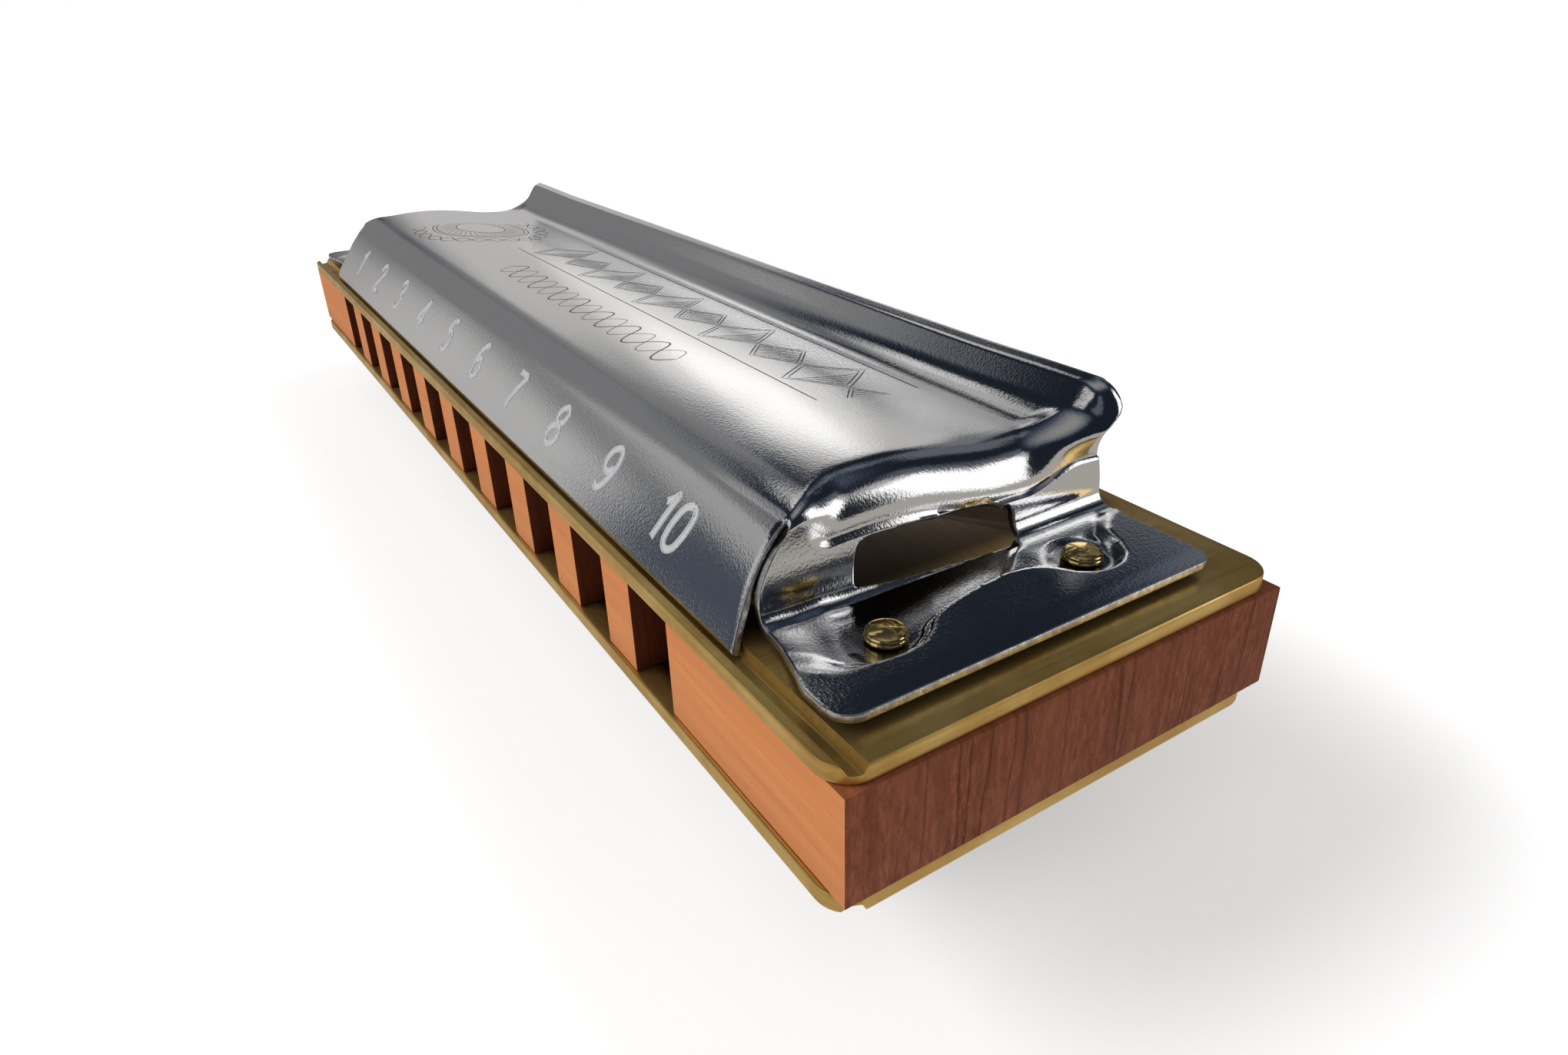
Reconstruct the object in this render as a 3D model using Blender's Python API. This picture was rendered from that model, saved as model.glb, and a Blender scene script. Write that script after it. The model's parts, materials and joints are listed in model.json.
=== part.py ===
"""Ten-hole diatonic harmonica, built as the loose parts that go together on a bench.

X runs along the instrument (hole 1 at -X, hole 10 at +X), Y runs from the
mouthpiece edge (-Y) to the open back (+Y), Z is up.  The origin is the centre
of the comb.  Lengths are millimetres and are scaled once, when a mesh is made.

`side` is +1 for the upper half (blow reeds) and -1 for the lower (draw reeds).
"""

import math

import bmesh
import bpy
import numpy as np
from mathutils import Matrix, Vector

MM = 0.001
UPPER, LOWER = 1, -1

# ---------------------------------------------------------------- comb
COMB_L = 102.0
COMB_D = 25.5
COMB_H = 5.6
HOLES = 10
PITCH = 7.67
CHANNEL_W = 4.24
CHANNEL_SPARE = 0.6             # channel beyond the draw reed's root

# ---------------------------------------------------------------- reed plates
FIT = 0.03                      # air left between parts that are stacked
PLATE_L = 101.6
PLATE_FRONT = -12.95
PLATE_REAR = 12.6
PLATE_T = 0.9
PLATE_CORNER_R = 1.6
PLATE_CORNER_STEPS = 4
PLATE_IN = COMB_H / 2 + FIT     # height of a plate's inner face
PLATE_OUT = PLATE_IN + PLATE_T  # height of a plate's outer face
GROOVE_Y = -12.0
GROOVE_TOP_W = 1.0
GROOVE_BOTTOM_W = 0.5
GROOVE_DEPTH = 0.45
GROOVE_CUT_ABOVE = 0.3          # how far the groove's cutter stands above the plate
GROOVE_CUT_PAST = 2.0           # and how far it runs past each end

# ---------------------------------------------------------------- reeds
REED_L_FIRST = 14.4             # tongue of the lowest reed
REED_L_STEP = 0.644             # each hole's tongue is this much shorter
REED_T = 0.25
REED_W_FIRST = 1.95
REED_W_LAST = 1.70
TIP_SHARE = 0.88                # tip width over root width
SHOULDER_L = 0.35               # taper from pad to tongue
PAD_L = 2.8
PAD_W = 2.6
REED_GAP = 0.20                 # plate to pad, and pad to rivet head
SLOT_SIDE = 0.16                # slot's clearance round the tongue
SLOT_ROOT = 0.15
SLOT_TIP = 0.28
BLOW_ROOT_Y = -7.0
DRAW_TIP_Y = -6.6
RIVET_R = 0.45
RIVET_HEAD_R = 0.85
RIVET_HEAD_T = 0.30
RIVET_FACE_SHARE = 0.62         # radius of the head's flat face over the head's
RIVET_EDGE_SHARE = 0.35         # straight part of the head's edge
RIVET_HOLE_R = 0.51
PAD_HOLE_R = 0.66
RIVET_SIDES = 8

# ---------------------------------------------------------------- covers
SHEET = 0.4
SEAT = PLATE_OUT + FIT + SHEET  # top of the sheet where it lies on the plate
LIFT = 0.5                      # how far the flange's rim stands above that
COVER_XE = 41.35                # outside of the end wall at its top
COVER_XB = 41.75                # outside of the end wall at its foot
PANEL_CUT_X = 41.9              # front panel's cut edge at its foot
FOOT_R = 0.8
ROUND_R = 2.2                   # round-over between the top and the end wall
SLIT_R = 0.45                   # the same at the top of the end slit
ROUND_BLEND = 3.5               # distance over which SLIT_R grows to ROUND_R
RIDGE_R = 1.3                   # the same at the ridge along the back
RIDGE_OUT = 0.35                # how far the ridge's ends stand further out
# Where along the end wall the ridge takes over, front 0 to back 1.
RIDGE_R_START = 0.80
RIDGE_OUT_START = 0.84
RIDGE_BLEND = 0.12
ROUND_STEPS = 3
WALL_MID = 0.45                 # place of the wall's middle row
WALL_MID_TOP = 8.0              # highest wall top used to place that row

# The end wall's front edge swings forward from this height down.
FRONT_SWING = 1.95
FRONT_SWING_TOP = 8.3
FRONT_SWING_DROP = 3.1
# The end wall's rear edge steps in to END_REAR_Y between these heights.
END_REAR_Y = 10.2
REAR_STEP_LOW = 7.9
REAR_STEP_RISE = 1.5

FLANGE_X = 49.35
FLANGE_FRONT_Y = -11.75
FLANGE_REAR_Y = 9.7
FLANGE_FRONT_R = 1.25
FLANGE_REAR_R = 0.9
FLANGE_FRONT_FAN = 1.1          # how far the flange spreads forward at its front
FLANGE_REAR_FAN = 0.5           # and shifts forward at its back
# (share of the way out, z)
FLANGE_ROWS = ((0.66, SEAT), (0.75, SEAT + LIFT), (1.0, SEAT + LIFT))

PROFILE_START = (-12.18, 3.60)  # y, z
PROFILE_HEADING = 60.0          # degrees above +Y
# (run length or arc radius, degrees turned, steps, mark); a turn of 0 is a straight run.
# "slit" is the top of the end slit, "back" the last point with an end wall.
PROFILE_WALK = (
    (1.0, 0, 1, ""), (25, -9, 1, ""), (4.0, -15, 1, "slit"),
    (4.0, -28, 2, ""), (24, -17, 2, ""), (3.0, 0, 1, ""),
    (20, 9, 1, ""), (2.9, 52, 3, ""), (0.75, 0, 1, ""),
    (1.5, -52, 2, ""), (1.15, -60, 2, "back"), (1.15, -80, 2, ""),
    (0.5, 0, 1, ""),
)

# Sound vent in the end wall: a low slot with a gently arched top.
VENT_X = (40.2, 43.4)           # reach of its cutter
VENT_LOW = SEAT + 0.12
VENT_FRONT = ((-5.75, VENT_LOW), (-5.75, 5.9), (-5.35, 6.6))  # y, z
VENT_ARCH_YS = (-4.6, -1.9, 1.2, 3.5)
VENT_ARCH_PEAK = (-2.5, 7.0)    # y, z
VENT_ARCH_BEND = 0.022
VENT_REAR = ((4.15, 5.6), (4.3, VENT_LOW))  # y, z

# ---------------------------------------------------------------- fasteners
NAIL_X = 45.35
NAIL_YS = (-6.6, 5.15)
NAIL_SITES = [(end * NAIL_X, y) for end in (-1, 1) for y in NAIL_YS]
NAIL_R = 0.45
NAIL_HOLE_R = 0.52
NAIL_HEAD_R = 1.0
NAIL_SEAT_SHARE = 0.97          # radius of the head's underside over the head's
NAIL_DOME_SHARES = (0.72, 0.66)  # radius and height shares of the dome's middle ring
NAIL_RIM = 0.2
NAIL_DOME = 0.45
NAIL_WOOD = 2.3                 # how deep a nail goes into the comb
NAIL_POINT = 0.7
NAIL_CUT = 1.5                  # cutter's reach above and below the seat
NAIL_SIDES = 10
PIN_SITES = ((-39.2, -9.0), (0.0, 10.9), (39.2, -9.0))
PIN_R = 0.38
PIN_HOLE_R = 0.46
PIN_HEAD_R = 0.75
PIN_FACE_SHARE = 0.8            # radius of the head's flat face over the head's
PIN_HEAD_T = 0.22
PIN_WOOD = 2.3
PIN_POINT = 0.6
PIN_SIDES = 8


# ================================================================ helpers
def clear_scene():
    for ob in list(bpy.data.objects):
        bpy.data.objects.remove(ob, do_unlink=True)


def material(name, colour, metallic, roughness):
    mat = bpy.data.materials.new(name)
    mat.use_nodes = True
    node = mat.node_tree.nodes["Principled BSDF"]
    node.inputs["Base Color"].default_value = (*colour, 1.0)
    node.inputs["Metallic"].default_value = metallic
    node.inputs["Roughness"].default_value = roughness
    mat.diffuse_color = (*colour, 1.0)
    return mat


def add_object(name, mesh, bm, mat):
    """Turn bm's faces outward, store it in mesh and link an object."""
    bmesh.ops.recalc_face_normals(bm, faces=bm.faces)
    if bm.calc_volume(signed=True) < 0:
        bmesh.ops.reverse_faces(bm, faces=bm.faces)
    bm.to_mesh(mesh)
    bm.free()
    ob = bpy.data.objects.new(name, mesh)
    bpy.context.scene.collection.objects.link(ob)
    mesh.materials.append(mat)
    return ob


def object_from(name, verts, faces, mat):
    mesh = bpy.data.meshes.new(name)
    mesh.from_pydata([Vector(v) * MM for v in verts], [], faces)
    mesh.validate()
    bm = bmesh.new()
    bm.from_mesh(mesh)
    return add_object(name, mesh, bm, mat)


def circle(centre_x, centre_y, radius, sides):
    """A regular polygon, turned half a step off +X."""
    angles = [2 * math.pi * (i + 0.5) / sides for i in range(sides)]
    return [(centre_x + radius * math.cos(a), centre_y + radius * math.sin(a)) for a in angles]


def slab(name, outline, holes, z0, z1, mat):
    """A flat plate: an outline with holes, from z0 to z1."""
    bm = bmesh.new()
    edges = []
    for loop in [outline, *holes]:
        vs = [bm.verts.new((x * MM, y * MM, z0 * MM)) for x, y in loop]
        edges += [bm.edges.new((vs[i], vs[(i + 1) % len(vs)])) for i in range(len(vs))]
    bmesh.ops.triangle_fill(bm, use_beauty=True, use_dissolve=False, edges=edges)
    grown = bmesh.ops.extrude_face_region(bm, geom=bm.faces[:])
    lifted = [g for g in grown["geom"] if isinstance(g, bmesh.types.BMVert)]
    bmesh.ops.translate(bm, vec=(0, 0, (z1 - z0) * MM), verts=lifted)
    return add_object(name, bpy.data.meshes.new(name), bm, mat)


def prism(name, ring, x0, x1, mat):
    """A ring of (y, z) points carried along X from x0 to x1."""
    n = len(ring)
    verts = [(x, y, z) for x in (x0, x1) for y, z in ring]
    faces = [tuple(range(n)), tuple(reversed(range(n, 2 * n)))]
    faces += [(k, k + n, (k + 1) % n + n, (k + 1) % n) for k in range(n)]
    return object_from(name, verts, faces, mat)


def lathe(name, site, profile, sides, side, mat):
    """A turned part on a vertical axis at site.  profile is (radius, z) from
    one pole to the other; a side of -1 mirrors it under the comb."""
    verts, rings = [], []
    for radius, z in profile:
        if radius < 1e-6:
            rings.append([len(verts)])
            verts.append((*site, side * z))
        else:
            rings.append(list(range(len(verts), len(verts) + sides)))
            verts += [(x, y, side * z) for x, y in circle(*site, radius, sides)]
    faces = []
    for a, b in zip(rings, rings[1:]):
        for i in range(sides):
            j = (i + 1) % sides
            if len(a) == 1:
                faces.append((a[0], b[i], b[j]))
            elif len(b) == 1:
                faces.append((a[i], b[0], a[j]))
            else:
                faces.append((a[i], b[i], b[j], a[j]))
    return object_from(name, verts, faces, mat)


def cut(target, cutters):
    """Subtract closed cutters from target and leave a plain mesh behind."""
    for cutter in cutters:
        mod = target.modifiers.new("cut", "BOOLEAN")
        mod.operation = "DIFFERENCE"
        mod.solver = "EXACT"
        mod.object = cutter
    graph = bpy.context.evaluated_depsgraph_get()
    solid = bpy.data.meshes.new_from_object(target.evaluated_get(graph))
    target.modifiers.clear()
    old = target.data
    target.data = solid
    bpy.data.meshes.remove(old)
    solid.name = target.name
    for cutter in cutters:
        bpy.data.objects.remove(cutter, do_unlink=True)


def ease(t):
    """Smooth step from 0 to 1."""
    t = min(max(t, 0.0), 1.0)
    return t * t * (3 - 2 * t)


# ================================================================ layout
def hole_x(i):
    return (i - (HOLES - 1) / 2) * PITCH


def reed_length(i):
    return REED_L_FIRST - REED_L_STEP * i


def reed_width(i):
    return REED_W_FIRST + (REED_W_LAST - REED_W_FIRST) * i / (HOLES - 1)


def reed_root(i, side):
    """Y of the line where tongue meets pad; the tongue runs toward side * +Y."""
    return BLOW_ROOT_Y if side == UPPER else DRAW_TIP_Y + reed_length(i)


def rivet_site(i, side):
    return hole_x(i), reed_root(i, side) - side * PAD_L / 2


def plate_span(side):
    """A plate's bottom and top."""
    return sorted((side * PLATE_IN, side * PLATE_OUT))


def reed_span(side):
    """A reed's bottom and top; both sets hang under their plates."""
    top = plate_span(side)[0] - REED_GAP
    return top - REED_T, top


def fastener_holes():
    return ([circle(*site, NAIL_HOLE_R, NAIL_SIDES) for site in NAIL_SITES]
            + [circle(*site, PIN_HOLE_R, PIN_SIDES) for site in PIN_SITES])


# ================================================================ comb
def make_comb(mat):
    x, y = COMB_L / 2, COMB_D / 2
    outline = [(-x, y), (-x, -y)]
    for i in range(HOLES):
        left, right = hole_x(i) - CHANNEL_W / 2, hole_x(i) + CHANNEL_W / 2
        end = reed_root(i, LOWER) + CHANNEL_SPARE
        outline += [(left, -y), (left, end), (right, end), (right, -y)]
    outline += [(x, -y), (x, y)]
    slab("comb", outline, fastener_holes(), -COMB_H / 2, COMB_H / 2, mat)


# ================================================================ plates
def plate_outline():
    r = PLATE_CORNER_R
    x, rear, front = PLATE_L / 2 - r, PLATE_REAR - r, PLATE_FRONT + r
    corners = [(x, rear, 0), (-x, rear, 90), (-x, front, 180), (x, front, 270)]
    outline = []
    for corner_x, corner_y, start in corners:
        for k in range(PLATE_CORNER_STEPS + 1):
            a = math.radians(start + 90 / PLATE_CORNER_STEPS * k)
            outline.append((corner_x + r * math.cos(a), corner_y + r * math.sin(a)))
    return outline


def reed_slot(i, side):
    x, half = hole_x(i), reed_width(i) / 2 + SLOT_SIDE
    root = reed_root(i, side)
    y0, y1 = sorted((root + side * SLOT_ROOT, root + side * (reed_length(i) + SLOT_TIP)))
    return [(x - half, y0), (x + half, y0), (x + half, y1), (x - half, y1)]


def groove_cutter(side, mat):
    """The trough along the plate's front, its flanks carried on above the face."""
    slope = 0.5 * (GROOVE_TOP_W - GROOVE_BOTTOM_W) / GROOVE_DEPTH
    half_top = GROOVE_TOP_W / 2 + slope * GROOVE_CUT_ABOVE
    half_bottom = GROOVE_BOTTOM_W / 2
    top, bottom = side * (PLATE_OUT + GROOVE_CUT_ABOVE), side * (PLATE_OUT - GROOVE_DEPTH)
    ring = [(GROOVE_Y - half_top, top), (GROOVE_Y + half_top, top),
            (GROOVE_Y + half_bottom, bottom), (GROOVE_Y - half_bottom, bottom)]
    x = PLATE_L / 2 + GROOVE_CUT_PAST
    return prism("groove_cutter", ring, -x, x, mat)


def make_plate(name, side, mat):
    holes = []
    for i in range(HOLES):
        holes.append(reed_slot(i, side))
        holes.append(circle(*rivet_site(i, side), RIVET_HOLE_R, RIVET_SIDES))
    holes += fastener_holes()
    plate = slab(name, plate_outline(), holes, *plate_span(side), mat)
    cut(plate, [groove_cutter(side, mat)])


# ================================================================ reeds
def make_reed(name, i, side, mat):
    """One tongue and its riveting pad, flat under its plate."""
    x, root, length = hole_x(i), reed_root(i, side), reed_length(i)
    half, pad = reed_width(i) / 2, PAD_W / 2
    tip = half * TIP_SHARE
    # drawn with the root at 0 and the tongue along +Y
    outline = [(-pad, -PAD_L), (pad, -PAD_L), (pad, 0.0), (half, SHOULDER_L), (tip, length),
               (-tip, length), (-half, SHOULDER_L), (-pad, 0.0)]
    hole = circle(0, -PAD_L / 2, PAD_HOLE_R, RIVET_SIDES)
    outline, hole = [[(x + side * u, root + side * v) for u, v in loop]
                     for loop in (outline, hole)]
    z0, z1 = reed_span(side)
    reed = slab(name, outline, [hole], z0, z1, mat)
    # the object's origin goes on the line where the tongue meets its pad
    origin = Vector((x, root, (z0 + z1) / 2)) * MM
    reed.data.transform(Matrix.Translation(-origin))
    reed.location = origin


def make_rivet(name, i, side, mat):
    """Head under the reed's pad, shank up through the plate."""
    seat = reed_span(side)[0] - REED_GAP
    end = plate_span(side)[1] - FIT
    face = seat - RIVET_HEAD_T
    profile = [(0, face), (RIVET_HEAD_R * RIVET_FACE_SHARE, face),
               (RIVET_HEAD_R, seat - RIVET_HEAD_T * RIVET_EDGE_SHARE), (RIVET_HEAD_R, seat),
               (RIVET_R, seat), (RIVET_R, end), (0, end)]
    # the heights already carry their sign, so nothing is mirrored
    lathe(name, rivet_site(i, side), profile, RIVET_SIDES, UPPER, mat)


# ================================================================ fasteners
def make_nail(name, site, side, mat):
    tip = COMB_H / 2 - NAIL_WOOD
    seat = SEAT + FIT
    rim = seat + NAIL_RIM
    ring_r, ring_z = NAIL_DOME_SHARES
    profile = [(0, tip), (NAIL_R, tip + NAIL_POINT), (NAIL_R, seat),
               (NAIL_HEAD_R * NAIL_SEAT_SHARE, seat), (NAIL_HEAD_R, rim),
               (NAIL_HEAD_R * ring_r, rim + NAIL_DOME * ring_z), (0, rim + NAIL_DOME)]
    lathe(name, site, profile, NAIL_SIDES, side, mat)


def make_pin(name, site, side, mat):
    tip = COMB_H / 2 - PIN_WOOD
    seat = PLATE_OUT + FIT
    top = seat + PIN_HEAD_T
    profile = [(0, tip), (PIN_R, tip + PIN_POINT), (PIN_R, seat), (PIN_HEAD_R, seat),
               (PIN_HEAD_R * PIN_FACE_SHARE, top), (0, top)]
    lathe(name, site, profile, PIN_SIDES, side, mat)


# ================================================================ covers
def cover_profile():
    """Outside of the cover in a cut across the instrument, walked like a
    pencil line.  Returns its (y, z) points and the index of each mark."""
    y, z = PROFILE_START
    heading = math.radians(PROFILE_HEADING)
    points, marks = [(y, z)], {}
    for size, turn, steps, mark in PROFILE_WALK:
        step = math.radians(turn) / steps
        chord = 2 * size * math.sin(abs(step) / 2) if turn else size / steps
        for _ in range(steps):
            y += chord * math.cos(heading + step / 2)
            z += chord * math.sin(heading + step / 2)
            heading += step
            points.append((y, z))
        if mark:
            marks[mark] = len(points) - 1
    return points, marks


def front_shift(z):
    """How far the end wall's front edge swings forward at height z."""
    share = min(max((FRONT_SWING_TOP - z) / FRONT_SWING_DROP, 0.0), 1.0)
    return -FRONT_SWING * math.sin(math.pi / 2 * share)


def rear_shift(z, y_back):
    """How far the end wall's rear edge steps in at height z."""
    return (END_REAR_Y - y_back) * (1 - ease((z - REAR_STEP_LOW) / REAR_STEP_RISE))


def wall_points(y_top, z_top, share, along, y_back):
    """One row over the round-over and down the end wall to its foot.  share is
    0 at the front of the wall and 1 at the back, along is the distance from
    the slit's top."""
    r = SLIT_R + (ROUND_R - SLIT_R) * ease(along / ROUND_BLEND)
    r += (RIDGE_R - ROUND_R) * ease((share - RIDGE_R_START) / RIDGE_BLEND)
    x_top = COVER_XE + RIDGE_OUT * ease((share - RIDGE_OUT_START) / RIDGE_BLEND)
    row = []
    for k in range(ROUND_STEPS + 1):
        a = math.radians(90 / ROUND_STEPS * k)
        row.append((x_top - r + r * math.sin(a), z_top - r * (1 - math.cos(a))))
    z_wall, z_foot = min(z_top - r, WALL_MID_TOP), SEAT + FOOT_R
    row.append((COVER_XE + (COVER_XB - COVER_XE) * WALL_MID,
                WALL_MID * z_foot + (1 - WALL_MID) * z_wall))
    row.append((COVER_XB, z_foot))
    a = math.radians(45)
    row.append((COVER_XB + FOOT_R * (1 - math.cos(a)), SEAT + FOOT_R * (1 - math.sin(a))))
    row.append((COVER_XB + FOOT_R, SEAT))
    return [(x, y_top + (1 - share) * front_shift(z) + share * rear_shift(z, y_back), z)
            for x, z in row]


def flange_reach(y):
    """X of the flange's rim, drawn in round its two corners."""
    reach = FLANGE_X
    for inside, r in ((y - FLANGE_FRONT_Y, FLANGE_FRONT_R), (FLANGE_REAR_Y - y, FLANGE_REAR_R)):
        if inside < r:
            d = r - max(inside, 0)
            reach = FLANGE_X - r + math.sqrt(max(r ** 2 - d * d, 0))
    return reach


def flange_points(x_foot, y_foot, share):
    """The rest of a row, from the foot out along the flange."""
    points = []
    for t, z in FLANGE_ROWS:
        y = y_foot + (-(1 - share) * FLANGE_FRONT_FAN * ease(t)
                      - share * FLANGE_REAR_FAN * ease(4 * t))
        points.append((x_foot + t * (flange_reach(y) - x_foot), y, z))
    return points


def cover_rows():
    """Right half of the cover's outside, one list of points per profile point."""
    profile, marks = cover_profile()
    slit, back = marks["slit"], marks["back"]
    y_slit, y_back = profile[slit][0], profile[back][0]
    z_start, z_slit = profile[0][1], profile[slit][1]
    along = 0.0
    rows = []
    for k, (y, z) in enumerate(profile):
        if k < slit:
            t = (z - z_start) / (z_slit - z_start)
            rows.append([(PANEL_CUT_X + (COVER_XE - SLIT_R - PANEL_CUT_X) * t, y, z)])
        elif k <= back:
            if k > slit:
                along += math.dist(profile[k - 1], profile[k])
            share = (y - y_slit) / (y_back - y_slit)
            wall = wall_points(y, z, share, along, y_back)
            x_foot, y_foot, _ = wall[-1]
            rows.append(wall + flange_points(x_foot, y_foot, share))
        else:
            rows.append([(rows[back][0][0], y, z)])
    return rows


def mirrored_grid(rows):
    """Vertices and quads of both halves; rows of unequal length join at their middles."""
    verts, index = [], []
    for row in rows:
        full = [(-x, y, z) for x, y, z in reversed(row)] + row
        index.append(list(range(len(verts), len(verts) + len(full))))
        verts += full
    quads = []
    for a, b in zip(index, index[1:]):
        half_a, half_b = len(a) // 2, len(b) // 2
        n = min(half_a, half_b)
        a, b = a[half_a - n: half_a + n], b[half_b - n: half_b + n]
        quads += [(a[i], a[i + 1], b[i + 1], b[i]) for i in range(2 * n - 1)]
    return verts, quads


def vertex_normals(points, quads):
    """Outward normals, each face weighted by its angle at the vertex."""
    normals = np.zeros_like(points)
    for quad in quads:
        p = points[list(quad)]
        n = np.cross(p[2] - p[0], p[3] - p[1])
        for i, v in enumerate(quad):
            e1, e2 = p[(i + 1) % 4] - p[i], p[(i - 1) % 4] - p[i]
            c = float(np.dot(e1, e2) / (np.linalg.norm(e1) * np.linalg.norm(e2) + 1e-12))
            normals[v] += n / (np.linalg.norm(n) + 1e-12) * math.acos(min(max(c, -1), 1))
    return normals / np.linalg.norm(normals, axis=1)[:, None]


def thicken(verts, quads):
    """Offset the outside inwards by the sheet and close the edges."""
    outer = np.array(verts)
    inner = outer - vertex_normals(outer, quads) * SHEET
    count = len(verts)
    edge_use = {}
    for q in quads:
        for a, b in zip(q, q[1:] + q[:1]):
            edge_use.setdefault(frozenset((a, b)), []).append((a, b))
    faces = quads + [tuple(v + count for v in reversed(q)) for q in quads]
    for uses in edge_use.values():
        if len(uses) == 1:
            a, b = uses[0]
            faces.append((b, a, a + count, b + count))
    triangles = [tri for f in faces for tri in ((f[0], f[1], f[2]), (f[0], f[2], f[3]))]
    return [tuple(p) for p in (*outer, *inner)], triangles


def vent_cutter(end, side, mat):
    peak_y, peak_z = VENT_ARCH_PEAK
    arch = [(y, peak_z - VENT_ARCH_BEND * (y - peak_y) ** 2) for y in VENT_ARCH_YS]
    ring = [(y, side * z) for y, z in (*VENT_FRONT, *arch, *VENT_REAR)]
    return prism("vent_cutter", ring, end * VENT_X[0], end * VENT_X[1], mat)


def nail_cutter(site, side, mat):
    low, high = SEAT - NAIL_CUT, SEAT + NAIL_CUT
    profile = [(0, low), (NAIL_HOLE_R, low), (NAIL_HOLE_R, high), (0, high)]
    return lathe("nail_cutter", site, profile, NAIL_SIDES, side, mat)


def make_cover(name, side, mat):
    verts, faces = thicken(*mirrored_grid(cover_rows()))
    cover = object_from(name, [(x, y, side * z) for x, y, z in verts], faces, mat)
    cutters = []
    for end in (-1, 1):
        cutters.append(vent_cutter(end, side, mat))
        cutters += [nail_cutter((end * NAIL_X, y), side, mat) for y in NAIL_YS]
    cut(cover, cutters)


# ================================================================ assembly
def main():
    clear_scene()
    wood = material("pear_wood", colour=(0.56, 0.27, 0.13), metallic=0.0, roughness=0.55)
    brass = material("plate_brass", colour=(0.66, 0.50, 0.20), metallic=1.0, roughness=0.35)
    reed_brass = material("reed_brass", colour=(0.74, 0.58, 0.27), metallic=1.0, roughness=0.25)
    rivet_brass = material("rivet_brass", colour=(0.60, 0.46, 0.19), metallic=1.0, roughness=0.30)
    steel = material("cover_steel", colour=(0.68, 0.69, 0.71), metallic=1.0, roughness=0.15)
    nail_brass = material("nail_brass", colour=(0.78, 0.60, 0.26), metallic=1.0, roughness=0.18)

    make_comb(wood)
    for side, level, breath, cover in ((UPPER, "upper", "blow", "top_cover"),
                                       (LOWER, "lower", "draw", "bottom_cover")):
        make_plate(f"{level}_reed_plate", side, brass)
        for i in range(HOLES):
            make_reed(f"{breath}_reed_{i + 1:02d}", i, side, reed_brass)
            make_rivet(f"{breath}_rivet_{i + 1:02d}", i, side, rivet_brass)
        for where, site in zip(("left", "middle", "right"), PIN_SITES):
            make_pin(f"{level}_plate_pin_{where}", site, side, nail_brass)
        make_cover(cover, side, steel)
        for x, y in NAIL_SITES:
            where = ("front" if y < 0 else "rear") + ("_left" if x < 0 else "_right")
            make_nail(f"{cover}_nail_{where}", (x, y), side, nail_brass)


main()
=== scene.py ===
"""Looks for a ten-hole harmonica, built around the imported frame.

The holes run along X, low notes at -X, and open towards the front, -Y.  The comb is centred
on Z = 0: the blow plate and top cover lie above it, the draw plate and bottom cover below.
Shapes are worked out in millimetres; materials, lights and camera use metres.
"""
import json
import math

import bmesh
import bpy
import numpy as np
from mathutils import Matrix, Vector
from mathutils.geometry import delaunay_2d_cdt


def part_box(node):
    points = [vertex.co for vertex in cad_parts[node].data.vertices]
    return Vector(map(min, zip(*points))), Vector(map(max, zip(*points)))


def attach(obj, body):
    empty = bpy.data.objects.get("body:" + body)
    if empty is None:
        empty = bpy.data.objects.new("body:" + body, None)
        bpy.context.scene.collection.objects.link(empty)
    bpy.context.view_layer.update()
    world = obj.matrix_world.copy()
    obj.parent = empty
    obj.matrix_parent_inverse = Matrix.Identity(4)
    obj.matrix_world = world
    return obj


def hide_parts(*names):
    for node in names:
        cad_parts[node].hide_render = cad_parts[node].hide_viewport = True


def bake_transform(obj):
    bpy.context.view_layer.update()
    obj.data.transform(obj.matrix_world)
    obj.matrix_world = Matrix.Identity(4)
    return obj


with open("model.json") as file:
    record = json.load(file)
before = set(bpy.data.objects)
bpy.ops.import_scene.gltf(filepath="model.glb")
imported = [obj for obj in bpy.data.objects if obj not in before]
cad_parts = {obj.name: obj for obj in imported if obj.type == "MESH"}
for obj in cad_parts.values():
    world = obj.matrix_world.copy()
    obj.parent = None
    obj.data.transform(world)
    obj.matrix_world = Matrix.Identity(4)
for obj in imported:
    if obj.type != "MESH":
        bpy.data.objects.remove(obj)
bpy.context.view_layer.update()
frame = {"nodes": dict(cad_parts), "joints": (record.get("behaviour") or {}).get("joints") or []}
MM = 0.001
RNG = np.random.default_rng(7)


# ------------------------------------------------------------ sizes from the frame
def box_mm(node):
    low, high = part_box(node)
    return np.array(low) * 1000.0, np.array(high) * 1000.0


def middle_mm(node):
    low, high = box_mm(node)
    return 0.5 * (low + high)


def tongue_joint(node):
    return next(j for j in frame["joints"] if j["child"] == node + "_tongue")


COMB_X, COMB_Y, COMB_Z = box_mm("comb")[1]
PLATE_LOW, PLATE_HIGH = box_mm("upper_reed_plate")
PLATE_X = PLATE_HIGH[0]
PLATE_FRONT, PLATE_REAR = PLATE_LOW[1], PLATE_HIGH[1]
PLATE_IN, PLATE_OUT = PLATE_LOW[2], PLATE_HIGH[2]
COVER_TOP = box_mm("top_cover")[1][2]
HOLES = 10
HOLE_X = [tongue_joint(f"blow_reed_{i + 1:02d}")["pos_m"][0] * 1000 for i in range(HOLES)]
NAIL_X = middle_mm("top_cover_nail_front_right")[0]
NAIL_YS = tuple(middle_mm(f"top_cover_nail_{end}_right")[1] for end in ("front", "rear"))

CHANNEL_WIDTH = 4.24
SHEET = 0.4                           # thickness of the covers
SEAT = PLATE_OUT + (PLATE_IN - COMB_Z) + SHEET   # outside of a cover lying on its plate
FLANGE_LIFT = 0.5                     # the flange's rim above that
TROUGH_Y = -12.0                      # trough in the plates for the covers' front edges


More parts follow.
